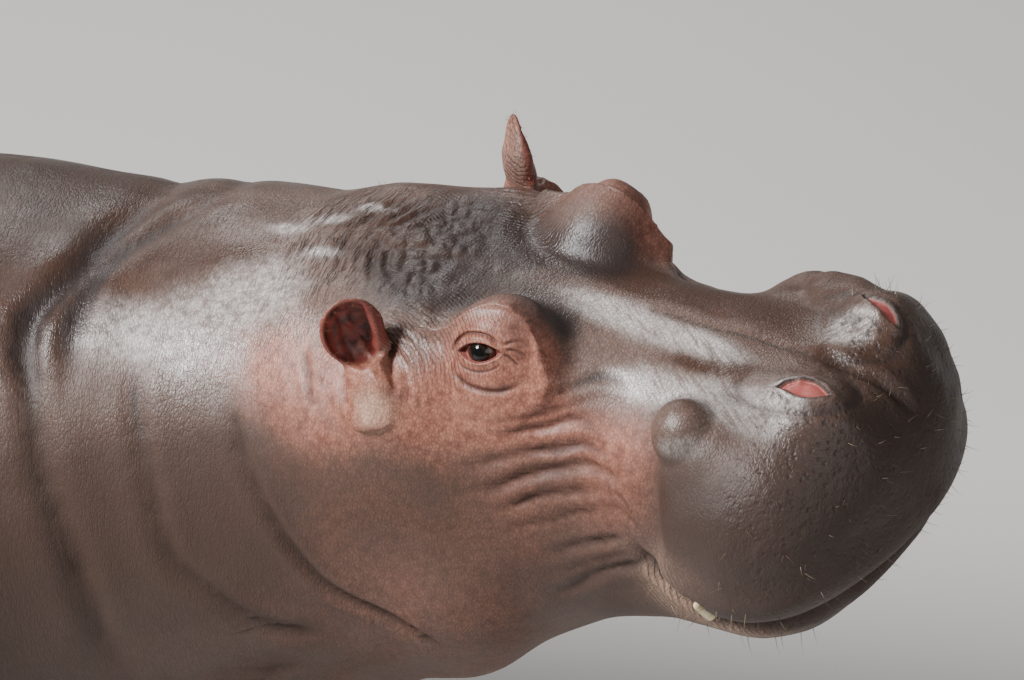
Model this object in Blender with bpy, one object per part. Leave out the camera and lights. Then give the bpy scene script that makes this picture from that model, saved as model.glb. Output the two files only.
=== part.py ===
"""A common hippopotamus (Hippopotamus amphibius), an adult cow, life size, standing on four feet.

The animal looks along +X and its right side faces -Y.  Its head is carried level with its back
and is turned a little to its right, and its mouth is closed.  The flesh is modelled whole from
lofted tubes and rounded masses, melted into one form, and parted into named solids by thin cuts.
"""
import math

import bpy
import bmesh
from mathutils import Matrix, Vector

# ---------------------------------------------------------------- driving dimensions, metres
EAR_LINE = 0.92          # from the middle of the trunk forward to the line through both ears
HEAD_LEVEL = 1.21        # height of the plane that eyes, ears and nostrils share
HEAD_TURN = math.radians(-26)
NECK_START = 0.30        # the bend of the neck begins and ends at these places along the body
NECK_END = 0.86

BODY_VOXEL = 0.026
HEAD_VOXEL = 0.013
FLESH_VOXEL = 0.010
EAR_VOXEL = 0.004
FLESH_TRIANGLES = 3380
CUT = 0.0004             # width of the thin cuts, and the play round eyes, nails and teeth

# In the head's own frame: forward of the ears, to the left, above the head's level
EYE_SEAT = Vector((0.135, 0.141, 0.071))
EYE_RADIUS = 0.019
EAR_ROOT = Vector((0.016, 0.188, 0.000))
EAR_BOWL = Vector((-0.004, 0.186, 0.091))
EAR_RISE = Vector((-0.17, 0.25, 0.95)).normalized()      # the way the ear stands
EAR_LOOK = Vector((0.74, 0.67, -0.04)).normalized()      # the way its opening faces
TUSK_ROOT = Vector((0.402, 0.156, -0.212))
TUSK_TIP = Vector((0.402, 0.199, -0.166))
# The line of the closed mouth, from the middle of the front back to the corner: forward, up
MOUTH = ((0.285, -0.118), (0.32, -0.140), (0.36, -0.170), (0.41, -0.188), (0.46, -0.192),
         (0.51, -0.180), (0.56, -0.160), (0.70, -0.140))
JAW_BACK = ((0.20, -0.200), (0.13, -0.300), (0.10, -0.520))

MOUTH_STEPS = 14
SOLE_CUT = 0.004         # the feet are cut flat at this height, which is then set on the floor
DOUBLES = 0.000001       # points closer than this are one
# The spaces that the cuts follow: back, front and height of the groin; and the tail's, from the side
LEG_SPACE = {"fore": (-0.17, 0.38, 0.400), "hind": (-1.41, -0.80, 0.395)}
TAIL_SPACE = ((-1.505, 1.40), (-1.515, 1.06), (-1.565, 0.96), (-1.565, 0.50), (-2.0, 0.50), (-2.0, 1.40))

NAIL_ANGLES = (-60, -21, 21, 60)
NAIL_RADII = (0.020, 0.024, 0.028)
FOOT_REACH = 0.124       # from the middle of a foot out to the middle of its nails

# Tubes along the body: place, half width, top, bottom, height of the widest line
TRUNK = (
    (-1.42, 0.330, 1.210, 0.700, 0.96),
    (-1.20, 0.440, 1.300, 0.500, 0.88),
    (-0.85, 0.510, 1.345, 0.375, 0.82),
    (-0.45, 0.525, 1.350, 0.340, 0.80),
    (-0.05, 0.470, 1.330, 0.385, 0.83),
    (0.25, 0.385, 1.310, 0.465, 0.88),
    (0.50, 0.310, 1.288, 0.570, 0.94),
    (0.75, 0.265, 1.276, 0.665, 0.99),
    (0.96, 0.225, 1.270, 0.770, 1.03),
)
# The same for the head, in its own frame: forward of the ears, and above the head's level
SKULL = (
    (-0.26, 0.200, 0.040, -0.400, -0.130),
    (-0.14, 0.232, 0.076, -0.430, -0.110),
    (-0.02, 0.236, 0.080, -0.425, -0.100),
    (0.07, 0.216, 0.074, -0.400, -0.115),
    (0.15, 0.188, 0.070, -0.365, -0.140),
    (0.23, 0.166, 0.066, -0.325, -0.150),
    (0.31, 0.168, 0.062, -0.300, -0.140),
    (0.38, 0.182, 0.054, -0.292, -0.140),
    (0.45, 0.195, 0.050, -0.285, -0.130),
    (0.50, 0.188, 0.046, -0.256, -0.110),
    (0.54, 0.166, 0.036, -0.205, -0.085),
    (0.57, 0.130, 0.012, -0.150, -0.065),
    (0.595, 0.080, -0.022, -0.102, -0.058),
)
# Posts up the legs: height, place along, place across, half length, half width
FORE_LEG = (
    (-0.03, 0.175, 0.275, 0.128, 0.118),
    (0.05, 0.165, 0.275, 0.122, 0.114),
    (0.12, 0.150, 0.275, 0.103, 0.099),
    (0.21, 0.140, 0.278, 0.103, 0.100),
    (0.33, 0.130, 0.285, 0.124, 0.114),
    (0.47, 0.115, 0.285, 0.152, 0.130),
    (0.66, 0.100, 0.270, 0.180, 0.145),
)
HIND_LEG = (
    (-0.03, -1.120, 0.265, 0.124, 0.114),
    (0.05, -1.128, 0.265, 0.118, 0.110),
    (0.12, -1.150, 0.265, 0.098, 0.093),
    (0.21, -1.165, 0.265, 0.100, 0.094),
    (0.33, -1.155, 0.275, 0.125, 0.112),
    (0.49, -1.120, 0.285, 0.175, 0.132),
    (0.70, -1.100, 0.280, 0.215, 0.150),
)
# One fore foot is set a little forward of the other, as are the hind feet: a quiet stance
STANCE = {
    ("fore", "left"): 0.050, ("fore", "right"): -0.045,
    ("hind", "left"): -0.080, ("hind", "right"): 0.060,
}
SIDES = {"left": 1, "right": -1}


# ---------------------------------------------------------------- curves and frames
def smooth_curve(places, values):
    """Returns a function that runs smoothly through the values at the places."""
    last = len(places) - 1

    def slope(i):
        a, b = max(i - 1, 0), min(i + 1, last)
        return (values[b] - values[a]) / (places[b] - places[a])

    def at(x):
        x = min(max(x, places[0]), places[-1])
        i = max(n for n in range(last) if places[n] <= x)
        step = places[i + 1] - places[i]
        t = (x - places[i]) / step
        return ((2 * t ** 3 - 3 * t ** 2 + 1) * values[i] + (t ** 3 - 2 * t ** 2 + t) * step * slope(i)
                + (3 * t ** 2 - 2 * t ** 3) * values[i + 1] + (t ** 3 - t ** 2) * step * slope(i + 1))

    return at


def neck_bend(point):
    """Carries a point of the straight animal to its place with the neck turned."""
    length = NECK_END - NECK_START
    inside = min(max(point.x - NECK_START, 0), length)
    angle = HEAD_TURN * inside / length
    radius = length / HEAD_TURN
    along = point.x if point.x < NECK_START else NECK_START + radius * math.sin(angle)
    across = radius * (1 - math.cos(angle))
    beyond = max(point.x - NECK_END, 0)
    return Vector((along + beyond * math.cos(angle) - point.y * math.sin(angle),
                   across + beyond * math.sin(angle) + point.y * math.cos(angle), point.z))


def head_point(x, y, z):
    return Vector((EAR_LINE + x, y, HEAD_LEVEL + z))


def head_frame():
    """The head's own frame, turned with the neck."""
    return Matrix.Translation(neck_bend(head_point(0, 0, 0))) @ Matrix.Rotation(HEAD_TURN, 4, "Z")


# ---------------------------------------------------------------- rounded forms
def ring(form, centre, side_arm, up_arm, down_arm, side_length, up_length, down_length, power, count):
    """One closed ring of points, an oval that is squarer the higher its power."""
    points = []
    for step in range(count):
        angle = 2 * math.pi * step / count
        c, s = math.cos(angle), math.sin(angle)
        out = math.copysign(abs(c) ** (2 / power), c) * side_length
        rise = math.copysign(abs(s) ** (2 / power), s) * (up_length if s > 0 else down_length)
        points.append(form.verts.new(centre + side_arm * out + (up_arm if s > 0 else down_arm) * rise))
    return points


def join_rings(form, rings):
    for one, two in zip(rings, rings[1:]):
        for i in range(len(one)):
            j = (i + 1) % len(one)
            form.faces.new((one[i], one[j], two[j], two[i]))
    form.faces.new(rings[0][::-1])
    form.faces.new(rings[-1])


def barrel(form, stations, power, count=40, step=0.03, lift=Vector((0, 0, 0))):
    """A tube along X through the stations."""
    places = [row[0] for row in stations]
    width, top, bottom, widest = (smooth_curve(places, [row[i] for row in stations]) for i in (1, 2, 3, 4))
    pieces = max(2, round((places[-1] - places[0]) / step))
    rings = []
    for n in range(pieces + 1):
        x = places[0] + (places[-1] - places[0]) * n / pieces
        z = widest(x)
        middle = lift + Vector((x, 0, z))
        rings.append(ring(form, middle, Vector((0, 1, 0)), Vector((0, 0, 1)), Vector((0, 0, 1)),
                          width(x), top(x) - z, z - bottom(x), power, count))
    join_rings(form, rings)


def post(form, stations, side, shift, power=2.3, count=24, step=0.03):
    """A tube up Z through the stations; its foot is shifted forward and its top stays."""
    places = [row[0] for row in stations]
    along, across, length, width = (smooth_curve(places, [row[i] for row in stations]) for i in (1, 2, 3, 4))
    pieces = max(2, round((places[-1] - places[0]) / step))
    rings = []
    for n in range(pieces + 1):
        z = places[0] + (places[-1] - places[0]) * n / pieces
        carried = shift * min(1, max(0, 1 - z / places[-1]))
        rings.append(ring(form, Vector((along(z) + carried, side * across(z), z)), Vector((1, 0, 0)),
                          Vector((0, 1, 0)), Vector((0, 1, 0)), length(z), width(z), width(z), power, count))
    join_rings(form, rings)


def ball(form, centre, radii, tilt=(0, 0, 0), segments=28, rows=18):
    """A rounded mass: an ellipsoid, tilted in degrees about X, Y and Z."""
    turn = Matrix.Identity(4)
    for angle, axis in zip(tilt, "XYZ"):
        turn = Matrix.Rotation(math.radians(angle), 4, axis) @ turn
    place = Matrix.Translation(centre) @ turn @ Matrix.Diagonal((*radii, 1))
    bmesh.ops.create_uvsphere(form, u_segments=segments, v_segments=rows, radius=1, matrix=place)


def paired_ball(form, centre, radii, tilt=(0, 0, 0)):
    """The same mass on both sides of the animal."""
    x, y, z = centre
    roll, pitch, yaw = tilt
    ball(form, Vector((x, y, z)), radii, (roll, pitch, yaw))
    ball(form, Vector((x, -y, z)), radii, (-roll, pitch, -yaw))


def tapered_rod(form, start, end, start_radius, end_radius, count=16):
    """A round rod with rounded ends."""
    axis = (end - start).normalized()
    side = axis.orthogonal().normalized()
    other = axis.cross(side)
    rings = []
    for place, radius in ((start, start_radius), (end, end_radius)):
        rings.append(ring(form, place, side, other, other, radius, radius, radius, 2, count))
    join_rings(form, rings)
    ball(form, start, (start_radius,) * 3, segments=16, rows=10)
    ball(form, end, (end_radius,) * 3, segments=16, rows=10)


# ---------------------------------------------------------------- objects
def evaluated_mesh(piece):
    bpy.context.view_layer.update()
    graph = bpy.context.evaluated_depsgraph_get()
    return bpy.data.meshes.new_from_object(piece.evaluated_get(graph))


def as_mesh(form):
    bmesh.ops.recalc_face_normals(form, faces=form.faces)
    mesh = bpy.data.meshes.new("form")
    form.to_mesh(mesh)
    form.free()
    return mesh


def helper(mesh):
    """An object for work in progress: the build leaves it out."""
    piece = bpy.data.objects.new("helper", mesh)
    piece.hide_render = True
    piece.display_type = "WIRE"
    bpy.context.scene.collection.objects.link(piece)
    return piece


def melt(forms, voxel, smoothing, share=1.0):
    """Melts overlapping forms into one closed skin, relaxes it and keeps that share of its faces."""
    form = bmesh.new()
    for source in forms:
        form.from_mesh(source)
    piece = helper(as_mesh(form))
    remesh = piece.modifiers.new("Melt", "REMESH")
    remesh.mode = "VOXEL"
    remesh.voxel_size = voxel
    relax = piece.modifiers.new("Relax", "SMOOTH")
    relax.factor = 0.5
    relax.iterations = smoothing
    if share < 1:
        thin = piece.modifiers.new("Fewer faces", "DECIMATE")
        thin.ratio = share
    mesh = evaluated_mesh(piece)
    bpy.data.objects.remove(piece)
    return mesh


def carve(mesh, cutter, operation):
    """The mesh cut by, or kept inside, a closed cutter."""
    body, tool = helper(mesh), helper(cutter)
    boolean = body.modifiers.new("Cut", "BOOLEAN")
    boolean.operation = operation
    boolean.solver = "EXACT"
    boolean.object = tool
    result = evaluated_mesh(body)
    bpy.data.objects.remove(body)
    bpy.data.objects.remove(tool)
    return result


def part(mesh, cell, play):
    """Parts a mesh with a thin cut into what lies inside a cell and what is left."""
    wider = cell.copy()
    grow(wider, play)
    return carve(mesh, cell, "INTERSECT"), carve(mesh, wider, "DIFFERENCE")


def grow(mesh, distance):
    """Moves a mesh outward along its normals."""
    offsets = [vertex.normal * distance for vertex in mesh.vertices]
    for vertex, offset in zip(mesh.vertices, offsets):
        vertex.co += offset


def seat(host, guest):
    """Sinks a guest into its host, in a socket with a little play."""
    wider = guest.copy()
    grow(wider, CUT)
    return carve(host, wider, "DIFFERENCE")


# ---------------------------------------------------------------- the flesh
def body_masses():
    form = bmesh.new()
    barrel(form, TRUNK, 2.2)
    ball(form, (0.40, 0, 0.77), (0.28, 0.25, 0.26))                     # brisket
    paired_ball(form, (-1.23, 0.150, 0.875), (0.28, 0.27, 0.37))       # rump
    paired_ball(form, (0.06, 0.265, 0.800), (0.25, 0.165, 0.36))       # shoulder
    paired_ball(form, (-1.04, 0.300, 0.700), (0.27, 0.185, 0.34))      # thigh
    for (pair, side), shift in STANCE.items():
        post(form, FORE_LEG if pair == "fore" else HIND_LEG, SIDES[side], shift)
    return as_mesh(form)


def head_masses():
    form = bmesh.new()
    barrel(form, SKULL, 2.3, count=44, step=0.02, lift=head_point(0, 0, 0))
    masses = (
        ((0.040, 0.125, -0.220), (0.150, 0.100, 0.180), (0, 15, 0)),    # cheek
        ((0.000, 0.105, -0.320), (0.130, 0.085, 0.110), (0, 10, 0)),    # angle of the jaw
        ((0.130, 0.095, 0.005), (0.105, 0.085, 0.080), (0, 0, 0)),      # rise of the brow
        ((0.450, 0.120, -0.085), (0.120, 0.105, 0.115), (0, 0, -6)),    # pad of the upper lip
        ((0.490, 0.070, -0.010), (0.100, 0.065, 0.065), (0, 0, -14)),   # rise of the nose
        ((0.400, 0.130, -0.015), (0.070, 0.055, 0.055), (0, 0, 0)),     # rise over the tusk's root
        ((0.020, 0.122, 0.026), (0.085, 0.064, 0.066), (0, 0, 0)),      # temple, from the ear to the eye
        ((-0.080, 0.090, 0.022), (0.120, 0.070, 0.064), (0, 0, 0)),     # nape behind the ears
    )
    for centre, radii, tilt in masses:
        paired_ball(form, head_point(*centre), radii, tilt)
    return as_mesh(form)


def small_masses():
    """Forms that keep their roundness, as they are relaxed least."""
    form = bmesh.new()
    masses = (
        ((0.145, 0.107, 0.052), (0.062, 0.056, 0.068), (0, 0, 0)),      # dome round the eye
        ((0.498, 0.082, 0.030), (0.062, 0.042, 0.046), (0, 0, -25)),    # mound of the nostril
        ((0.383, 0.146, 0.018), (0.042, 0.036, 0.043), (0, 0, 0)),      # swelling over the tusk's root
        ((0.020, 0.188, -0.005), (0.048, 0.040, 0.056), (0, 0, 0)),     # root of the ear
    )
    for centre, radii, tilt in masses:
        paired_ball(form, head_point(*centre), radii, tilt)
    for (pair, side), shift in STANCE.items():
        middle = foot_middle(pair, side, shift)
        for angle in NAIL_ANGLES:
            out = Vector((math.cos(math.radians(angle)), math.sin(math.radians(angle)), 0))
            ball(form, middle + out * (FOOT_REACH - 0.028) + Vector((0, 0, 0.036)), (0.046, 0.036, 0.048),
                 (0, 0, angle), segments=20, rows=14)
    tail = (
        (Vector((-1.430, 0, 1.140)), Vector((-1.600, 0, 0.980)), 0.072, 0.046),
        (Vector((-1.600, 0, 0.980)), Vector((-1.635, 0, 0.790)), 0.046, 0.028),
        (Vector((-1.635, 0, 0.790)), Vector((-1.625, 0, 0.670)), 0.028, 0.015),
    )
    for start, end, start_radius, end_radius in tail:
        tapered_rod(form, start, end, start_radius, end_radius)
    return as_mesh(form)


def foot_middle(pair, side, shift):
    height, along, across = (FORE_LEG if pair == "fore" else HIND_LEG)[0][:3]
    return Vector((along + shift, SIDES[side] * across, 0))


def whole_flesh():
    body = melt([body_masses()], BODY_VOXEL, 14)
    head = melt([head_masses()], HEAD_VOXEL, 9)
    core = melt([body, head], HEAD_VOXEL, 7)
    fine = melt([core, small_masses()], FLESH_VOXEL, 5)
    for vertex in fine.vertices:
        vertex.co = neck_bend(vertex.co)
    piece = helper(fine)
    thin = piece.modifiers.new("Fewer faces", "DECIMATE")
    thin.ratio = FLESH_TRIANGLES / (2 * len(fine.polygons))
    mesh = evaluated_mesh(piece)
    bpy.data.objects.remove(piece)
    return mesh


# ---------------------------------------------------------------- the cells that the cuts follow
def cell_box(low, high, frame=Matrix.Identity(4)):
    form = bmesh.new()
    size = Vector(high) - Vector(low)
    place = frame @ Matrix.Translation((Vector(low) + Vector(high)) / 2) @ Matrix.Diagonal((*size, 1))
    bmesh.ops.create_cube(form, size=1, matrix=place)
    return as_mesh(form)


def prism(outline, place):
    """A closed outline carried straight across: place gives a corner of each end."""
    form = bmesh.new()
    join_rings(form, [[form.verts.new(place(u, v, end)) for u, v in outline] for end in (0, 1)])
    return as_mesh(form)


def jaw_cell():
    """The space under the line of the mouth, drawn from the side and carried across the head."""
    rise = smooth_curve([x for x, _ in MOUTH], [z for _, z in MOUTH])
    start, end = MOUTH[0][0], MOUTH[-1][0]
    line = [start + (end - start) * n / MOUTH_STEPS for n in range(MOUTH_STEPS + 1)]
    outline = [(x, rise(x)) for x in line] + [(end, JAW_BACK[-1][1])] + list(JAW_BACK[::-1])
    frame = head_frame()
    return prism(outline, lambda x, z, far: frame @ Vector((x, 0.4 if far else -0.4, z)))


def leg_cell(pair, side):
    """The space of a leg: its slanted top runs from the groin up to the outside of the limb."""
    back, front, groin = LEG_SPACE[pair]
    outline = ((0.080, -0.1), (0.080, groin), (0.700, groin + 0.52), (0.700, -0.1))
    return prism(outline, lambda y, z, far: Vector((front if far else back, SIDES[side] * y, z)))


def tail_cell():
    return prism(TAIL_SPACE, lambda x, z, far: Vector((x, 0.14 if far else -0.14, z)))


# ---------------------------------------------------------------- eyes, ears, nails and teeth
def mirrored(point, side):
    return Vector((point.x, SIDES[side] * point.y, point.z))


def eye(side):
    form = bmesh.new()
    place = head_frame() @ Matrix.Translation(mirrored(EYE_SEAT, side))
    place = place @ Matrix.Rotation(math.radians(90), 4, "X")
    bmesh.ops.create_uvsphere(form, u_segments=16, v_segments=8, radius=EYE_RADIUS, matrix=place)
    return as_mesh(form)


def ear(side):
    """A rounded bowl on a short stalk, its opening forward and outward."""
    rise, look = mirrored(EAR_RISE, side), mirrored(EAR_LOOK, side)
    look = (look - rise * look.dot(rise)).normalized()
    across = look.cross(rise)
    axes = Matrix((across, look, rise)).transposed().to_4x4()
    bowl = Matrix.Translation(mirrored(EAR_BOWL, side)) @ axes
    form = bmesh.new()
    outer = bowl @ Matrix.Diagonal((0.037, 0.021, 0.048, 1))
    bmesh.ops.create_uvsphere(form, u_segments=28, v_segments=18, radius=1, matrix=outer)
    foot = mirrored(EAR_ROOT, side)
    tapered_rod(form, foot, mirrored(EAR_BOWL, side) - rise * 0.028 - look * 0.004, 0.031, 0.024)
    solid = melt([as_mesh(form)], EAR_VOXEL, 3, 0.035)
    hollow = bmesh.new()
    inner = bowl @ Matrix.Translation((0, 0.016, 0.002)) @ Matrix.Diagonal((0.029, 0.022, 0.038, 1))
    bmesh.ops.create_uvsphere(hollow, u_segments=12, v_segments=8, radius=1, matrix=inner)
    shell = carve(solid, as_mesh(hollow), "DIFFERENCE")
    shell.transform(head_frame())
    return shell


def tusk(side):
    form = bmesh.new()
    tapered_rod(form, mirrored(TUSK_ROOT, side), mirrored(TUSK_TIP, side), 0.013, 0.006, count=10)
    mesh = melt([as_mesh(form)], 0.003, 1, 0.07)
    mesh.transform(head_frame())
    return mesh


def nails(pair, side):
    """Four blunt nails round the front of a foot."""
    middle = foot_middle(pair, side, STANCE[pair, side])
    found = []
    for angle in NAIL_ANGLES:
        form = bmesh.new()
        out = Vector((math.cos(math.radians(angle)), math.sin(math.radians(angle)), 0))
        seat_height = Vector((0, 0, NAIL_RADII[2] + 2 * SOLE_CUT))
        ball(form, middle + out * FOOT_REACH + seat_height, NAIL_RADII, (0, 0, angle), segments=8, rows=4)
        found.append(as_mesh(form))
    return found


# ---------------------------------------------------------------- the finished pieces
def island(vertex):
    """All the points that hang together with this one."""
    found, waiting = {vertex}, [vertex]
    while waiting:
        for edge in waiting.pop().link_edges:
            for other in edge.verts:
                if other not in found:
                    found.add(other)
                    waiting.append(other)
    return found


def clean(mesh):
    """Merges doubled points left by the cuts and drops loose specks."""
    form = bmesh.new()
    form.from_mesh(mesh)
    bmesh.ops.remove_doubles(form, verts=form.verts, dist=DOUBLES)
    left, largest = set(form.verts), set()
    while left:
        found = island(left.pop())
        left -= found
        largest = max(largest, found, key=len)
    bmesh.ops.delete(form, geom=[vertex for vertex in form.verts if vertex not in largest], context="VERTS")
    bmesh.ops.triangulate(form, faces=form.faces)
    form.to_mesh(mesh)
    form.free()
    return mesh


def paint(name, colour, roughness):
    material = bpy.data.materials.new(name)
    material.use_nodes = True
    shader = material.node_tree.nodes["Principled BSDF"]
    shader.inputs["Base Color"].default_value = (*colour, 1)
    shader.inputs["Roughness"].default_value = roughness
    shader.inputs["Metallic"].default_value = 0
    return material


def main():
    for item in list(bpy.data.objects):
        bpy.data.objects.remove(item)
    skins = {"back": (0.17, 0.12, 0.11), "face": (0.21, 0.15, 0.14), "flank": (0.18, 0.13, 0.12),
             "limb": (0.16, 0.11, 0.10), "pink": (0.45, 0.22, 0.18)}
    skins = {name: paint("hide_" + name, colour, 0.5) for name, colour in skins.items()}
    eye_paint = paint("eye", (0.02, 0.012, 0.008), 0.08)
    nail_paint = paint("nail", (0.12, 0.09, 0.07), 0.45)
    ivory = paint("ivory", (0.75, 0.66, 0.42), 0.35)

    rest = carve(whole_flesh(), cell_box((-3, -1, -1), (3, 1, SOLE_CUT)), "DIFFERENCE")
    front_plane = Matrix.Translation((0.43, 0, 1.35)) @ Matrix.Rotation(math.radians(-16), 4, "Y")
    front, rest = part(rest, cell_box((0, -0.9, -1.0), (1.8, 0.9, 0.4), front_plane), CUT)
    head, neck = part(front, cell_box((-0.10, -0.6, -0.9), (1.0, 0.6, 0.4), head_frame()), CUT)
    jaw, head = part(head, jaw_cell(), CUT)
    tail, rest = part(rest, tail_cell(), CUT)

    pieces = {"neck": (neck, skins["back"]), "tail": (tail, skins["limb"])}
    for pair, side in STANCE:
        leg, rest = part(rest, leg_cell(pair, side), CUT)
        for number, nail in enumerate(nails(pair, side), start=1):
            leg = seat(leg, nail)
            pieces[f"nail_{pair}_{side}_{number}"] = (nail, nail_paint)
        pieces[f"leg_{pair}_{side}"] = (leg, skins["limb"])
    pieces["trunk"] = (rest, skins["flank"])

    for side in SIDES:
        ball_of_eye, pinna, tooth = eye(side), ear(side), tusk(side)
        head = seat(seat(head, ball_of_eye), pinna)
        jaw = seat(jaw, tooth)
        head = seat(head, tooth)
        pieces["eye_" + side] = (ball_of_eye, eye_paint)
        pieces["ear_" + side] = (pinna, skins["pink"])
        pieces["tusk_" + side] = (tooth, ivory)
    pieces["head"] = (head, skins["face"])
    pieces["jaw"] = (jaw, skins["face"])
    place_on_floor(pieces)


def place_on_floor(pieces):
    """Makes the objects, with the middle of the animal's box over the origin."""
    points = [vertex.co for mesh, _ in pieces.values() for vertex in mesh.vertices]
    middle = Vector([(min(p[i] for p in points) + max(p[i] for p in points)) / 2 for i in range(3)])
    for name, (mesh, material) in pieces.items():
        mesh.transform(Matrix.Translation((-middle.x, -middle.y, -SOLE_CUT)))
        clean(mesh)
        mesh.name = name
        mesh.materials.clear()
        mesh.materials.append(material)
        mesh.shade_smooth()
        mesh.set_sharp_from_angle(angle=math.radians(40))
        piece = bpy.data.objects.new(name, mesh)
        bpy.context.scene.collection.objects.link(piece)


main()
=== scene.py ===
import math

import bmesh
import bpy
import numpy as np
from mathutils import Matrix, Vector
from mathutils.kdtree import KDTree


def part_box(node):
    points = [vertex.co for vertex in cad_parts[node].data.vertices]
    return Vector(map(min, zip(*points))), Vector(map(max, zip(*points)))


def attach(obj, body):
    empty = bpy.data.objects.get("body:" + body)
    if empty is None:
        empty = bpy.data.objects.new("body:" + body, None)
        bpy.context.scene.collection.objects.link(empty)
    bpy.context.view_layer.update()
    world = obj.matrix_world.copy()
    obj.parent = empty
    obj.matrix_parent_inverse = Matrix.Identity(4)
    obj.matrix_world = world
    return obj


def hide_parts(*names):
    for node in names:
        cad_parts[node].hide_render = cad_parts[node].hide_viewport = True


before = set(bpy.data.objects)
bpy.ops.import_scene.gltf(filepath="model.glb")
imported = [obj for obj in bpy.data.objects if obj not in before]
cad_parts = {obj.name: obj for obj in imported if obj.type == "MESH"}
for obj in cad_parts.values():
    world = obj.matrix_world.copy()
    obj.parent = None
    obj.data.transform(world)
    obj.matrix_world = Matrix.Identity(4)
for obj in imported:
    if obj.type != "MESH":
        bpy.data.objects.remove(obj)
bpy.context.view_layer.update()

sides = {"left": 1, "right": -1}
pairs = ("fore", "hind")


# Where the head is, and how the neck bends towards it
stance = {
    "eyeForward": 0.135,     # from the line through the ears
    "eyeAbove": 0.071,
    "eyeAside": 0.141,
    "bendBack": 0.62,        # the neck bends from here, behind the ears, along the spine
    "bendFront": 0.06,
}


def middleOf(node):
    low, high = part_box(node)
    return (Vector(low) + Vector(high)) / 2


rightEye = middleOf("eye_right")
leftEye = middleOf("eye_left")
up = Vector((0, 0, 1))
left = (leftEye - rightEye).normalized()
forward = left.cross(up)
headPlace = (leftEye + rightEye) / 2 - forward * stance["eyeForward"] - up * stance["eyeAbove"]
headTurn = math.atan2(forward.y, forward.x)
bendRadius = (stance["bendBack"] - stance["bendFront"]) / headTurn
bendCentre = headPlace - forward * stance["bendFront"] + left * bendRadius
bodyStart = bendCentre - Vector((0, bendRadius, 0))


def headMatrix():
    return Matrix.Translation(headPlace) @ Matrix((forward, left, up)).transposed().to_4x4()


def fromHead(x, y, z):
    return headPlace + forward * x + left * y + up * z


# Gives each point as forward of the ears along the spine, to the left of it, above the head's level.
def alongSpine(points):
    turn = -math.copysign(1, headTurn)
    away = points[:, :2] - np.array(bendCentre[:2])
    turned = np.arctan2(away[:, 0], turn * away[:, 1])
    reach = np.hypot(away[:, 0], away[:, 1])
    bent = np.empty_like(points)
    bent[:, 0] = -stance["bendBack"] + abs(bendRadius) * turned
    bent[:, 1] = turn * (reach - abs(bendRadius))
    bent[:, 2] = points[:, 2] - headPlace.z
    straight = points[:, 0] < bodyStart.x
    bent[straight, 0] = points[straight, 0] - bodyStart.x - stance["bendBack"]
    bent[straight, 1] = points[straight, 1] - bodyStart.y
    ahead = (turned > abs(headTurn)) & ~straight
    flat = points[ahead, :2] - np.array(headPlace[:2])
    bent[ahead, 0] = flat @ np.array(forward[:2])
    bent[ahead, 1] = flat @ np.array(left[:2])
    return bent


# Meshes as arrays of numbers
def readPoints(mesh):
    points = np.empty(len(mesh.vertices) * 3)
    mesh.vertices.foreach_get("co", points)
    return points.reshape(-1, 3)


def readNormals(mesh):
    normals = np.empty(len(mesh.vertices) * 3)
    mesh.vertices.foreach_get("normal", normals)
    return normals.reshape(-1, 3)


def writePoints(mesh, points):
    mesh.vertices.foreach_set("co", np.ascontiguousarray(points).ravel())
    mesh.update()


def readEdges(mesh):
    edges = np.empty(len(mesh.edges) * 2, dtype=np.int64)
    mesh.edges.foreach_get("vertices", edges)
    return edges.reshape(-1, 2)


# Draws each point by half, or half its weight, towards the middle of its neighbours.
def relaxed(points, edges, rounds, weight=None):
    count = np.bincount(edges.ravel(), minlength=len(points))[:, None]
    count = np.maximum(count, 1)
    pull = 0.5 if weight is None else 0.5 * weight[:, None]
    for _ in range(rounds):
        total = np.empty_like(points)
        for axis in range(3):
            total[:, axis] = np.bincount(edges[:, 0], points[edges[:, 1], axis], len(points))
            total[:, axis] += np.bincount(edges[:, 1], points[edges[:, 0], axis], len(points))
        points = points + pull * (total / count - points)
    return points


def relax(mesh, rounds, weight=None):
    writePoints(mesh, relaxed(readPoints(mesh), readEdges(mesh), rounds, weight))


def smoothStep(low, high, value):
    share = np.clip((value - low) / (high - low), 0, 1)
    return share * share * (3 - 2 * share)


def hump(distance, width):
    return np.exp(-(distance / width) ** 2)


# A smooth random field from -1 to 1, its lumps about size across.
def softNoise(points, size, seed):
    cell = points / size + seed * 3.17
    base = np.floor(cell).astype(np.int64)
    part = cell - base
    part = part * part * (3 - 2 * part)
    total = np.zeros(len(points))
    for corner in range(8):
        step = np.array([corner & 1, corner >> 1 & 1, corner >> 2 & 1])
        place = base + step
        code = place[:, 0] * 73856093 ^ place[:, 1] * 19349663 ^ place[:, 2] * 83492791 ^ seed * 7919
        code = (code & 0xFFFFFFFF) * 2654435761 & 0xFFFFFFFF
        code = (code ^ code >> 15) * 2246822519 & 0xFFFFFFFF
        value = (code ^ code >> 13) / 2147483648.0 - 1
        total += value * np.prod(np.where(step, part, 1 - part), axis=1)
    return total


# The finished form as a piece of the scene.
def pieceOf(name, form):
    mesh = bpy.data.meshes.new(name)
    form.to_mesh(mesh)
    form.free()
    piece = bpy.data.objects.new(name, mesh)
    bpy.context.scene.collection.objects.link(piece)
    return piece


# The piece's mesh with its modifiers taken in.
def settled(piece):
    mesh = bpy.data.meshes.new_from_object(piece.evaluated_get(bpy.context.evaluated_depsgraph_get()))
    piece.modifiers.clear()
    old = piece.data
    piece.data = mesh
    bpy.data.meshes.remove(old)
    return mesh


def remeshed(piece, voxel):
    remesh = piece.modifiers.new("One form", "REMESH")
    remesh.mode = "VOXEL"
    remesh.voxel_size = voxel
    return settled(piece)


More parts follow.
